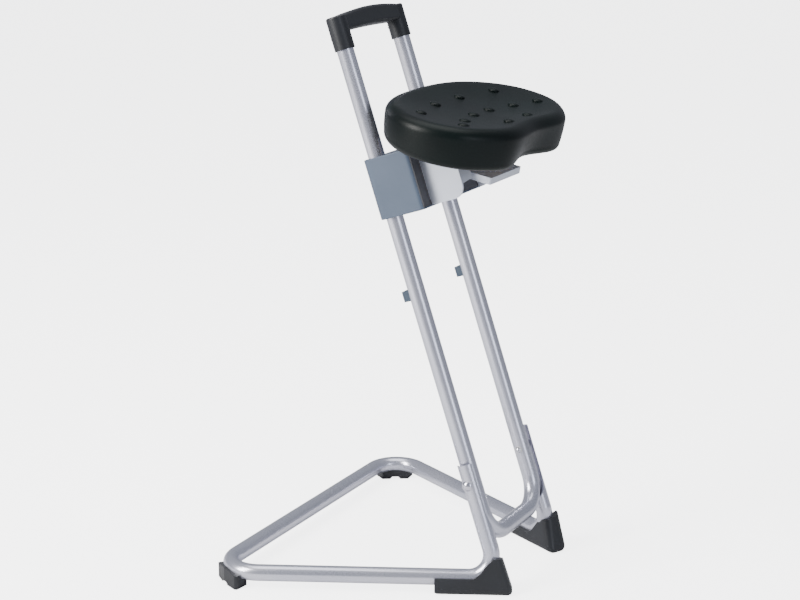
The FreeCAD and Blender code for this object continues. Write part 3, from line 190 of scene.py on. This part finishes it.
def make_dust_group():
    group, start, end = new_group(
        "Settled dust",
        [
            ("Color", "NodeSocketColor", (0.5, 0.5, 0.5, 1)),
            ("Dust tone", "NodeSocketColor", (0.5, 0.5, 0.5, 1)),
            ("Amount", "NodeSocketFloat", 0.1),
        ],
        [("Color", "NodeSocketColor")],
    )
    surface = group.nodes.new("ShaderNodeNewGeometry")
    split = group.nodes.new("ShaderNodeSeparateXYZ")
    group.links.new(surface.outputs["Normal"], split.inputs["Vector"])
    upward = group.nodes.new("ShaderNodeMapRange")
    upward.inputs["From Min"].default_value = DUST_LEAST_RISE
    group.links.new(split.outputs["Z"], upward.inputs["Value"])
    clouds = noise_node(group, DUST_CLOUD_SCALE, 4.0, 0.6)
    product = group.nodes.new("ShaderNodeMath")
    product.operation = "MULTIPLY"
    group.links.new(upward.outputs["Result"], product.inputs[0])
    group.links.new(clouds.outputs["Fac"], product.inputs[1])
    share = group.nodes.new("ShaderNodeMath")
    share.operation = "MULTIPLY"
    group.links.new(product.outputs["Value"], share.inputs[0])
    group.links.new(start.outputs["Amount"], share.inputs[1])
    clean = start.outputs["Color"]
    colour = mixed(group, share.outputs["Value"], clean, start.outputs["Dust tone"])
    group.links.new(colour, end.inputs["Color"])
    return group


dust_group = make_dust_group()
print("group", dust_group.name)

# %% [markdown]
# Every finish of the stool is one of these grained surfaces with its own tones, gloss
# and depth of grain. Metallic, coat and sheen are plain numbers on the shader.

# %% Helper: a finish


def make_finish(name, light, dark, grain, smooth, coarse, bump, metallic=0.0, dust=0.0, **shader):
    """Material with grain, slow tone change, a little dust and fine bump."""
    material = bpy.data.materials.new(name)
    material.use_nodes = True
    tree = material.node_tree
    surface = tree.nodes["Principled BSDF"]
    surface.inputs["Metallic"].default_value = metallic
    for label, value in shader.items():
        surface.inputs[label.replace("_", " ")].default_value = value
    body = tree.nodes.new("ShaderNodeGroup")
    body.node_tree = grain_group
    body.inputs["Light tone"].default_value = (*light, 1)
    body.inputs["Dark tone"].default_value = (*dark, 1)
    body.inputs["Grain scale"].default_value = grain
    body.inputs["Smooth roughness"].default_value = smooth
    body.inputs["Coarse roughness"].default_value = coarse
    colour = body.outputs["Color"]
    if dust > 0:
        dusty = tree.nodes.new("ShaderNodeGroup")
        dusty.node_tree = dust_group
        dusty.inputs["Amount"].default_value = dust
        tree.links.new(colour, dusty.inputs["Color"])
        colour = dusty.outputs["Color"]
    tree.links.new(colour, surface.inputs["Base Color"])
    tree.links.new(body.outputs["Roughness"], surface.inputs["Roughness"])
    relief = tree.nodes.new("ShaderNodeBump")
    relief.inputs["Distance"].default_value = bump
    tree.links.new(body.outputs["Height"], relief.inputs["Height"])
    tree.links.new(relief.outputs["Normal"], surface.inputs["Normal"])
    return material


print("finishes use", grain_group.name, "and", dust_group.name)

# %% [markdown]
# The tubes are silver powder coat: a little lilac in the light and blue in the shade,
# with a satin gloss. The bracket and lever have the same coat on flat pressed steel;
# their copy of it is painted paler, as painted light on the flat faces, and is rougher.
# A metallic value below one leaves some plain colour in the coat, as the flakes in a
# silver paint do.

# %% Finishes: metal
silver_tube = make_finish(
    "Silver powder coat",
    light=(0.7, 0.7, 0.77),
    dark=(0.61, 0.62, 0.71),
    grain=1400,
    smooth=0.22,
    coarse=0.33,
    bump=0.00004,
    metallic=0.85,
    dust=0.04,
)
# painted light: a paler copy of the tube coat, standing for the light the flat faces catch
silver_bracket = make_finish(
    "Silver pressed steel",
    light=(0.74, 0.77, 0.84),
    dark=(0.66, 0.7, 0.79),
    grain=1200,
    smooth=0.3,
    coarse=0.42,
    bump=0.00005,
    metallic=0.6,
)
rivet_steel = make_finish(
    "Domed rivet steel",
    light=(0.74, 0.74, 0.8),
    dark=(0.62, 0.62, 0.7),
    grain=2500,
    smooth=0.16,
    coarse=0.24,
    bump=0.00001,
    metallic=0.95,
)
zinc_steel = make_finish(
    "Zinc-plated steel",
    light=(0.62, 0.62, 0.6),
    dark=(0.5, 0.52, 0.55),
    grain=2200,
    smooth=0.25,
    coarse=0.4,
    bump=0.00001,
    metallic=1.0,
)
pressed_steel = make_finish(
    "Oiled pressed steel",
    light=(0.4, 0.4, 0.4),
    dark=(0.3, 0.31, 0.33),
    grain=900,
    smooth=0.35,
    coarse=0.5,
    bump=0.00002,
    metallic=1.0,
)
spring_steel = make_finish(
    "Spring wire",
    light=(0.45, 0.45, 0.46),
    dark=(0.33, 0.33, 0.35),
    grain=3000,
    smooth=0.25,
    coarse=0.35,
    bump=0.00001,
    metallic=1.0,
)
print("metal finishes: tube, bracket, rivet, zinc, pressed steel, spring")

# %% [markdown]
# The handle, shoes and glides are charcoal mouldings with a spark-eroded texture. The
# housing is blue-grey and smoother, and the stops are darker. Its front panel is painted
# darker and greyer than the housing, as painted shade on the front face. The guide
# bushes inside the housing are a pale natural plastic that shows only in the openings.

# %% Finishes: plastic
charcoal_plastic = make_finish(
    "Charcoal moulding",
    light=(0.012, 0.014, 0.018),
    dark=(0.008, 0.009, 0.012),
    grain=1500,
    smooth=0.36,
    coarse=0.5,
    bump=0.00008,
    dust=0.1,
)
carriage_plastic = make_finish(
    "Blue-grey moulding",
    light=(0.085, 0.115, 0.165),
    dark=(0.07, 0.095, 0.14),
    grain=1600,
    smooth=0.4,
    coarse=0.52,
    bump=0.00005,
    dust=0.06,
)
# painted shade: the front panel's dark grey stands for the housing's blue-grey in shade on its front face
panel_plastic = make_finish(
    "Panel moulding in painted shade",
    light=(0.07, 0.068, 0.075),
    dark=(0.045, 0.045, 0.055),
    grain=1600,
    smooth=0.4,
    coarse=0.55,
    bump=0.00005,
)
stop_rubber = make_finish(
    "Dark slate moulding",
    light=(0.05, 0.075, 0.11),
    dark=(0.035, 0.055, 0.085),
    grain=1300,
    smooth=0.5,
    coarse=0.65,
    bump=0.00006,
)
bush_plastic = make_finish(
    "Natural acetal",
    light=(0.75, 0.74, 0.7),
    dark=(0.66, 0.65, 0.6),
    grain=1800,
    smooth=0.3,
    coarse=0.42,
    bump=0.00001,
)

print("plastic finishes: charcoal, blue-grey, panel, stop, bush")

# %% [markdown]
# The board in the seat is plywood. Its grain is a noise stretched along X, so the lines
# run across the stool, and its colours come from that stretched noise.

# %% Finish: plywood
PLY_STRETCH = (8, 220, 220)
PLY_LIGHT = (0.5, 0.34, 0.19, 1)
PLY_DARK = (0.3, 0.19, 0.1, 1)


def make_plywood():
    material = bpy.data.materials.new("Plain plywood")
    material.use_nodes = True
    tree = material.node_tree
    surface = tree.nodes["Principled BSDF"]
    place = tree.nodes.new("ShaderNodeTexCoord")
    stretch = tree.nodes.new("ShaderNodeMapping")
    stretch.inputs["Scale"].default_value = PLY_STRETCH
    tree.links.new(place.outputs["Object"], stretch.inputs["Vector"])
    lines = tree.nodes.new("ShaderNodeTexNoise")
    lines.inputs["Scale"].default_value = 1.5
    lines.inputs["Detail"].default_value = 4
    tree.links.new(stretch.outputs["Vector"], lines.inputs["Vector"])
    colour = mixed(tree, lines.outputs["Fac"], PLY_LIGHT, PLY_DARK)
    tree.links.new(colour, surface.inputs["Base Color"])
    rough = ranged(tree, lines.outputs["Fac"], 0.5, 0.7)
    tree.links.new(rough, surface.inputs["Roughness"])
    return material


insert_board = make_plywood()
print("finish", insert_board.name)

# %% [markdown]
# The seat is self-skinned polyurethane foam: almost black with a satin skin and the fine
# leather grain of its mould. Its green-teal cast is partly the foam's own dark green and
# partly a painted sheen of the sky on the skin. Two noises make the grain: cells from a
# Voronoi texture for the pebbles, and the shared fine noise between them.

# %% Finish: seat skin
PEBBLE_SCALE = 520
PEBBLE_DEPTH = 0.12 * MM


def make_seat_skin():
    material = bpy.data.materials.new("Self-skinned foam")
    material.use_nodes = True
    tree = material.node_tree
    surface = tree.nodes["Principled BSDF"]
    surface.inputs["Specular IOR Level"].default_value = 0.2
    body = tree.nodes.new("ShaderNodeGroup")
    body.node_tree = grain_group
    # painted sheen: the teal in both tones is partly the foam's dark green and partly the sky's sheen painted into
    # the colour
    body.inputs["Light tone"].default_value = (0.001, 0.0058, 0.005, 1)
    body.inputs["Dark tone"].default_value = (0.0007, 0.0026, 0.0025, 1)
    body.inputs["Grain scale"].default_value = 900
    body.inputs["Smooth roughness"].default_value = 0.34
    body.inputs["Coarse roughness"].default_value = 0.46
    tree.links.new(body.outputs["Color"], surface.inputs["Base Color"])
    tree.links.new(body.outputs["Roughness"], surface.inputs["Roughness"])
    place = tree.nodes.new("ShaderNodeTexCoord")
    pebbles = tree.nodes.new("ShaderNodeTexVoronoi")
    pebbles.inputs["Scale"].default_value = PEBBLE_SCALE
    tree.links.new(place.outputs["Object"], pebbles.inputs["Vector"])
    heights = tree.nodes.new("ShaderNodeMath")
    heights.operation = "ADD"
    tree.links.new(pebbles.outputs["Distance"], heights.inputs[0])
    tree.links.new(body.outputs["Height"], heights.inputs[1])
    relief = tree.nodes.new("ShaderNodeBump")
    relief.inputs["Strength"].default_value = 0.5
    relief.inputs["Distance"].default_value = PEBBLE_DEPTH
    tree.links.new(heights.outputs["Value"], relief.inputs["Height"])
    tree.links.new(relief.outputs["Normal"], surface.inputs["Normal"])
    return material


seat_skin = make_seat_skin()
print("finish", seat_skin.name)

# %% [markdown]
# The record lists a finish for each piece, so one loop hangs every material on its node.
# The nodes keep their place and shape; only what covers them changes.

# %% Dress the fixed pieces
SLOT_FINISHES = {
    "silver_tube": silver_tube,
    "silver_bracket": silver_bracket,
    "charcoal_plastic": charcoal_plastic,
    "stop_rubber": stop_rubber,
    "carriage_plastic": carriage_plastic,
    "panel_plastic": panel_plastic,
    "rivet_steel": rivet_steel,
    "zinc_steel": zinc_steel,
    "pressed_steel": pressed_steel,
    "spring_steel": spring_steel,
    "bush_plastic": bush_plastic,
    "insert_board": insert_board,
    "seat_foam": seat_skin,
}
for piece in frame["record"]["subparts"]:
    for material_slot in nodes[piece["node"]].material_slots:
        material_slot.material = SLOT_FINISHES[piece["material_slot"]]
print("dressed", len(nodes), "nodes")

# %% [markdown]
# The seat is one closed form: a bean-like outline, a side that pulls in towards the
# bottom, a rolled rim and a dished top. All of it is rings of the same outline, each
# moved inwards and up or down, so a function of angle and a short list of rings give the
# whole surface. The outline is a smooth closed curve through a few points of one half.

# %% Seat outline
SEAT_HALF_WIDTH = 174 * MM
SEAT_REAR = 112 * MM
SEAT_FRONT = 98.5 * MM
OUTLINE_STEPS = 256

HALF_OUTLINE = [
    (0.48, 0.93 * SEAT_REAR),
    (0.83, 0.64 * SEAT_REAR),
    (1.0, 0.22 * SEAT_REAR),
    (0.915, -0.52 * SEAT_FRONT),
    (0.7, -0.845 * SEAT_FRONT),
    (0.5, -SEAT_FRONT),
]


def closed_curve(points, steps):
    """Points along a smooth closed cubic through the given ones, by chord length."""
    given = np.array(points, float)
    count = len(given)
    following = np.roll(given, -1, axis=0)
    chords = np.linalg.norm(following - given, axis=1)
    before = np.roll(chords, 1)
    system = np.zeros((count, count))
    for i in range(count):
        system[i, i] = 2 * (before[i] + chords[i])
        system[i, (i - 1) % count] = chords[i]
        system[i, (i + 1) % count] = before[i]
    slopes_in = (given - np.roll(given, 1, axis=0)) / before[:, None]
    slopes_out = (following - given) / chords[:, None]
    wanted = 3 * (chords[:, None] * slopes_in + before[:, None] * slopes_out)
    slopes = np.linalg.solve(system, wanted)
    ends = np.concatenate([[0], np.cumsum(chords)])
    result = []
    for distance in np.arange(steps) / steps * ends[-1]:
        i = min(np.searchsorted(ends, distance, side="right") - 1, count - 1)
        step = chords[i]
        u = (distance - ends[i]) / step
        j = (i + 1) % count
        result.append(
            (2 * u**3 - 3 * u**2 + 1) * given[i]
            + (u**3 - 2 * u**2 + u) * step * slopes[i]
            + (3 * u**2 - 2 * u**3) * given[j]
            + (u**3 - u**2) * step * slopes[j]
        )
    return np.array(result)


def seat_outline(notch):
    """Outline of the seat with a hollow of that depth in the middle of its front."""
    half = [(x * SEAT_HALF_WIDTH, y) for x, y in HALF_OUTLINE]
    around = [(0, SEAT_REAR)] + half + [(0, notch - SEAT_FRONT)]
    around += [(-x, y) for x, y in reversed(half)]
    return closed_curve(around, OUTLINE_STEPS)


print("points given for the outline", 2 * len(HALF_OUTLINE) + 2)

# %% [markdown]
# The side pulls in a little towards the bottom, the hollow in the front edge grows deeper
# downwards, and the underside is steeper than the rim, so the front is the thicker end.
# Each ring therefore has its own outline and follows both planes by its share of the way.

# %% Seat rings
RIM_ROLL = 17 * MM
RIM_DROP = 14 * MM
FOOT_ROUND = 11 * MM
SIDE_DRAW = 2.5 * MM
NOTCH_TOP = 3 * MM
NOTCH_FOOT = 13 * MM
SEAT_THICKNESS = 56 * MM
UNDERSIDE_SLOPE = math.tan(math.radians(2.4))
DISH_DEPTH = 10.5 * MM
DISH_RIM_POWER = 2.6
DISH_FLOOR_POWER = 1.4
UNDERSIDE_SHARES = (0.3, 0.6, 0.85)
SIDE_RINGS = 12
ROUND_RINGS = 12
DISH_RINGS = 36
SEAT_CENTRE = np.array([0.0, (SEAT_REAR - SEAT_FRONT) / 2])


def inward_normals(points):
    """Unit normals of a closed outline, pointing to its inside."""
    ahead = np.roll(points, -1, axis=0) - np.roll(points, 1, axis=0)
    ahead /= np.linalg.norm(ahead, axis=1)[:, None]
    normals = np.stack([ahead[:, 1], -ahead[:, 0]], axis=1)
    towards = np.sum(normals * (SEAT_CENTRE - points), axis=1)
    return normals * np.sign(np.sum(towards))


def underside(points):
    """Height of the wedge-shaped underside, lower at the front than at the back."""
    return UNDERSIDE_SLOPE * points[:, 1] - SEAT_THICKNESS


def side_ring(share, inset, lift):
    """Ring at a share of the side's height; the hollow in front grows downwards."""
    notch = NOTCH_FOOT + (NOTCH_TOP - NOTCH_FOOT) * share
    points = seat_outline(notch)
    moved = points + inward_normals(points) * inset
    low = underside(moved) + FOOT_ROUND
    heights = low + (-RIM_DROP - low) * share + lift
    return np.column_stack([moved, heights])


def shrunk(row, share):
    """The same ring, drawn in towards the seat's centre."""
    moved = row.copy()
    moved[:, :2] = SEAT_CENTRE + (row[:, :2] - SEAT_CENTRE) * share
    return moved


def dish_height(share):
    """Height of the dish at a share of the way from the centre to the rim."""
    return -DISH_DEPTH * (1 - share**DISH_RIM_POWER) ** DISH_FLOOR_POWER


def seat_rings():
    """Rings from the middle of the underside, out, up the side and into the dish."""
    rings = []
    foot = side_ring(0, FOOT_ROUND + SIDE_DRAW, -FOOT_ROUND)
    for share in UNDERSIDE_SHARES:
        flat = shrunk(foot, share)
        flat[:, 2] = underside(flat)
        rings.append(flat)
    for i in range(ROUND_RINGS + 1):
        turn = math.pi / 2 * i / ROUND_RINGS
        inset = SIDE_DRAW + FOOT_ROUND * (1 - math.sin(turn))
        rings.append(side_ring(0, inset, -FOOT_ROUND * math.cos(turn)))
    for i in range(1, SIDE_RINGS):
        share = i / SIDE_RINGS
        rings.append(side_ring(share, SIDE_DRAW * (1 - share) ** 2, 0))
    for i in range(ROUND_RINGS + 1):
        turn = math.pi / 2 * i / ROUND_RINGS
        rings.append(side_ring(1, RIM_ROLL * (1 - math.cos(turn)), RIM_DROP * math.sin(turn)))
    rim = rings[-1]
    for i in range(1, DISH_RINGS):
        share = 1 - i / DISH_RINGS
        dished = shrunk(rim, share)
        dished[:, 2] = dish_height(share)
        rings.append(dished)
    return rings


print("rings of the seat", len(seat_rings()))

# %% [markdown]
# A strip of quads joins each ring to the next, and a fan closes each end. The finished
# mesh is moved to its place, so that its object can stay at the origin.

# %% Seat mesh


def mesh_from_rings(name, rings, first_pole, last_pole):
    """Closed mesh of quads between rings, with a fan at each pole."""
    mesh = bpy.data.meshes.new(name)
    builder = bmesh.new()
    rows = [[builder.verts.new(point) for point in row] for row in rings]
    for lower, upper in zip(rows, rows[1:]):
        for i in range(len(lower)):
            j = (i + 1) % len(lower)
            builder.faces.new((lower[i], lower[j], upper[j], upper[i]))
    for row, pole in ((rows[0], first_pole), (rows[-1], last_pole)):
        tip = builder.verts.new(pole)
        for i in range(len(row)):
            builder.faces.new((row[i], row[(i + 1) % len(row)], tip))
    bmesh.ops.recalc_face_normals(builder, faces=builder.faces[:])
    builder.to_mesh(mesh)
    builder.free()
    mesh.polygons.foreach_set("use_smooth", [True] * len(mesh.polygons))
    return mesh


def place_piece(name, mesh, body, material, matrix=None):
    """Object at the origin with its place in its mesh, riding on a body."""
    if matrix is not None:
        mesh.transform(matrix)
    mesh.materials.clear()
    mesh.materials.append(material)
    piece = bpy.data.objects.new(name, mesh)
    bpy.context.scene.collection.objects.link(piece)
    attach(piece, body)
    return piece


seat_mesh = mesh_from_rings(
    "seat_skin",
    seat_rings(),
    (*SEAT_CENTRE, UNDERSIDE_SLOPE * SEAT_CENTRE[1] - SEAT_THICKNESS),
    (*SEAT_CENTRE, dish_height(0)),
)
seat = place_piece("seat_skin", seat_mesh, "carriage", seat_skin, seat_frame)
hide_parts("seat_pad")
print("seat faces", len(seat_mesh.polygons))

# %% [markdown]
# Small round nubs stand on the dish and let air under the sitter. They are all alike,
# so Geometry Nodes places one low dome on each point of a small point mesh. The tree has
# inputs for the nub's size, and its result is turned into a plain mesh at the end. Their
# places are mirrored from one half, and each point lies on the dish.

# %% Nub places
NUB_RADIUS = 8.5 * MM
NUB_HEIGHT = 3.4 * MM
NUB_PAIRS = [(38, 53), (116, 35), (25, -4), (79, -17), (31, -63), (122, -36)]


def nub_places():
    """Places of the nubs, given in millimetres for one half of the seat."""
    return [(side * x * MM, y * MM) for x, y in NUB_PAIRS for side in (-1, 1)]


def dish_at(x, y):
    """Height of the dish under a point, from its share of the way to the rim."""
    reach = np.array([x, y]) - SEAT_CENTRE
    distance = np.linalg.norm(reach)
    rim = side_ring(1, RIM_ROLL, RIM_DROP)[:, :2] - SEAT_CENTRE
    lengths = np.linalg.norm(rim, axis=1)
    along = (rim / lengths[:, None]) @ (reach / distance)
    return dish_height(distance / lengths[np.argmax(along)])


nub_points = bpy.data.meshes.new("nub_points")
nub_points.from_pydata([(x, y, dish_at(x, y)) for x, y in nub_places()], [], [])
print("nubs", len(nub_points.vertices))

# %% Nub tree
DOME_SEGMENTS = 24
DOME_RINGS = 12


def make_nub_tree():
    tree = bpy.data.node_groups.new("Nubs on points", "GeometryNodeTree")
    tree.interface.new_socket("Geometry", in_out="INPUT", socket_type="NodeSocketGeometry")
    for label in ("Nub radius", "Nub height"):
        tree.interface.new_socket(label, in_out="INPUT", socket_type="NodeSocketFloat")
    tree.interface.new_socket("Material", in_out="INPUT", socket_type="NodeSocketMaterial")
    tree.interface.new_socket("Geometry", in_out="OUTPUT", socket_type="NodeSocketGeometry")
    start = tree.nodes.new("NodeGroupInput")
    end = tree.nodes.new("NodeGroupOutput")
    dome = tree.nodes.new("GeometryNodeMeshUVSphere")
    dome.inputs["Segments"].default_value = DOME_SEGMENTS
    dome.inputs["Rings"].default_value = DOME_RINGS
    dome.inputs["Radius"].default_value = 1
    size = tree.nodes.new("ShaderNodeCombineXYZ")
    for axis, label in (("X", "Nub radius"), ("Y", "Nub radius"), ("Z", "Nub height")):
        tree.links.new(start.outputs[label], size.inputs[axis])
    spread = tree.nodes.new("GeometryNodeInstanceOnPoints")
    tree.links.new(start.outputs["Geometry"], spread.inputs["Points"])
    tree.links.new(dome.outputs["Mesh"], spread.inputs["Instance"])
    tree.links.new(size.outputs["Vector"], spread.inputs["Scale"])
    real = tree.nodes.new("GeometryNodeRealizeInstances")
    tree.links.new(spread.outputs["Instances"], real.inputs["Geometry"])
    smooth = tree.nodes.new("GeometryNodeSetShadeSmooth")
    tree.links.new(real.outputs["Geometry"], smooth.inputs["Geometry"])
    finish = tree.nodes.new("GeometryNodeSetMaterial")
    tree.links.new(smooth.outputs["Geometry"], finish.inputs["Geometry"])
    tree.links.new(start.outputs["Material"], finish.inputs["Material"])
    tree.links.new(finish.outputs["Geometry"], end.inputs["Geometry"])
    return tree


def grown_mesh(name, mesh, tree, values):
    """Run a Geometry Nodes tree on a mesh and return its result as a plain mesh."""
    holder = bpy.data.objects.new(name + "_source", mesh)
    bpy.context.scene.collection.objects.link(holder)
    modifier = holder.modifiers.new("grow", "NODES")
    modifier.node_group = tree
    for item in tree.interface.items_tree:
        if item.in_out == "INPUT" and item.name in values:
            modifier[item.identifier] = values[item.name]
    evaluated = holder.evaluated_get(bpy.context.evaluated_depsgraph_get())
    result = bpy.data.meshes.new_from_object(evaluated)
    bpy.data.objects.remove(holder)
    result.name = name
    return result


nub_mesh = grown_mesh(
    "seat_nubs",
    nub_points,
    make_nub_tree(),
    {"Nub radius": NUB_RADIUS, "Nub height": NUB_HEIGHT, "Material": seat_skin},
)
seat_nubs = place_piece("seat_nubs", nub_mesh, "carriage", seat_skin, seat_frame)
print("nub faces", len(nub_mesh.polygons))

# %% [markdown]
# The stool stands on a plain pale floor that runs on far behind it, like studio paper.
# The main light is large, soft and high on the left; a weaker one fills from the front,
# and the sky gives the rest. The camera itself sees a white backdrop, while the stool
# gets a dimmer, bluer sky, so its shaded sides stay deep.

# %% Floor
FLOOR_GLOW = 4.0
FLOOR_HALF = 30.0
PAPER_LIGHT = (0.86, 0.86, 0.87, 1)
PAPER_SHADE = (0.82, 0.82, 0.83, 1)


def make_floor():
    material = bpy.data.materials.new("Pale studio paper")
    material.use_nodes = True
    tree = material.node_tree
    surface = tree.nodes["Principled BSDF"]
    fibres = noise_node(tree, 400.0, 3.0)
    colour = mixed(tree, fibres.outputs["Fac"], PAPER_LIGHT, PAPER_SHADE)
    tree.links.new(colour, surface.inputs["Base Color"])
    surface.inputs["Roughness"].default_value = 0.9
    seen = tree.nodes.new("ShaderNodeLightPath")
    glow = tree.nodes.new("ShaderNodeMath")
    glow.operation = "MULTIPLY"
    glow.inputs[1].default_value = FLOOR_GLOW
    tree.links.new(seen.outputs["Is Camera Ray"], glow.inputs[0])
    surface.inputs["Emission Color"].default_value = (1, 1, 1, 1)
    tree.links.new(glow.outputs["Value"], surface.inputs["Emission Strength"])
    mesh = bpy.data.meshes.new("floor")
    half = FLOOR_HALF
    corners = [(-half, -half, 0), (half, -half, 0), (half, half, 0), (-half, half, 0)]
    mesh.from_pydata(corners, [], [(0, 1, 2, 3)])
    mesh.materials.append(material)
    floor = bpy.data.objects.new("floor", mesh)
    bpy.context.scene.collection.objects.link(floor)
    return floor


floor = make_floor()
print("floor side in metres", 2 * FLOOR_HALF)

# %% Lights and sky


def add_area(name, place, aim, width, height, power, colour=(1, 1, 1)):
    light = bpy.data.lights.new(name, "AREA")
    light.shape = "RECTANGLE"
    light.size = width
    light.size_y = height
    light.energy = power
    light.color = colour
    lamp = bpy.data.objects.new(name, light)
    bpy.context.scene.collection.objects.link(lamp)
    lamp.location = place
    direction = Vector(aim) - Vector(place)
    lamp.rotation_mode = "QUATERNION"
    lamp.rotation_quaternion = direction.to_track_quat("-Z", "Y")
    return lamp


middle = (0, 0.05, 0.45)
warm = (1.0, 0.98, 0.95)
cool = (0.86, 0.9, 1.0)
add_area("key light", (-2.3, 1.5, 1.9), middle, width=1.0, height=2.2, power=160, colour=warm)
add_area("fill light", (-1.2, -3.2, 1.3), middle, width=1.2, height=2.0, power=26, colour=cool)
add_area("top light", (0.2, 0.2, 3.2), middle, width=2.2, height=2.2, power=42)

SKY_TONE = (0.8, 0.84, 0.95, 1)
SKY_STRENGTH = 0.42

world = bpy.data.worlds.new("studio sky")
world.use_nodes = True
bpy.context.scene.world = world
sky_tree = world.node_tree
sky = sky_tree.nodes["Background"]
sky.inputs["Color"].default_value = SKY_TONE
sky.inputs["Strength"].default_value = SKY_STRENGTH
backdrop = sky_tree.nodes.new("ShaderNodeBackground")
backdrop.inputs["Color"].default_value = (1, 1, 1, 1)
seen = sky_tree.nodes.new("ShaderNodeLightPath")
choice = sky_tree.nodes.new("ShaderNodeMixShader")
sky_tree.links.new(seen.outputs["Is Camera Ray"], choice.inputs["Fac"])
sky_tree.links.new(sky.outputs["Background"], choice.inputs[1])
sky_tree.links.new(backdrop.outputs["Background"], choice.inputs[2])
sky_tree.links.new(choice.outputs["Shader"], sky_tree.nodes["World Output"].inputs["Surface"])
print("lights", [item.name for item in bpy.data.lights])

# %% [markdown]
# The camera looks from the front left, a little above the seat. Its place, lens and
# small shift were found from the outline of the tubes and feet in the photograph.

# %% Camera
CAMERA_AZIMUTH = math.radians(-61.24)
CAMERA_ELEVATION = math.radians(15.63)
CAMERA_ROLL = math.radians(0.17)
CAMERA_DISTANCE = 2.7736
TARGET_BEHIND_TUBES = 0.2276
TARGET_HEIGHT = 0.3876
FOCAL_PIXELS = 1822.1
SHIFT_PIXELS = (0.63, 6.0)
FRAME_WIDTH = 800
SENSOR_WIDTH = 36.0

camera_data = bpy.data.cameras.new("camera")
camera_data.sensor_width = SENSOR_WIDTH
camera_data.lens = FOCAL_PIXELS / FRAME_WIDTH * SENSOR_WIDTH
camera_data.shift_x = SHIFT_PIXELS[0] / FRAME_WIDTH
camera_data.shift_y = SHIFT_PIXELS[1] / FRAME_WIDTH
camera = bpy.data.objects.new("camera", camera_data)
bpy.context.scene.collection.objects.link(camera)
back = Vector(
    (
        math.sin(CAMERA_AZIMUTH) * math.cos(CAMERA_ELEVATION),
        -math.cos(CAMERA_AZIMUTH) * math.cos(CAMERA_ELEVATION),
        math.sin(CAMERA_ELEVATION),
    )
)
target = Vector((0, floor_line.y + TARGET_BEHIND_TUBES, TARGET_HEIGHT))
camera.location = target + back * CAMERA_DISTANCE
aim = (-back).to_track_quat("-Z", "Y").to_matrix() @ Matrix.Rotation(CAMERA_ROLL, 3, "Z")
camera.rotation_mode = "QUATERNION"
camera.rotation_quaternion = aim.to_quaternion()
bpy.context.scene.camera = camera
print("camera at", camera.location[:])
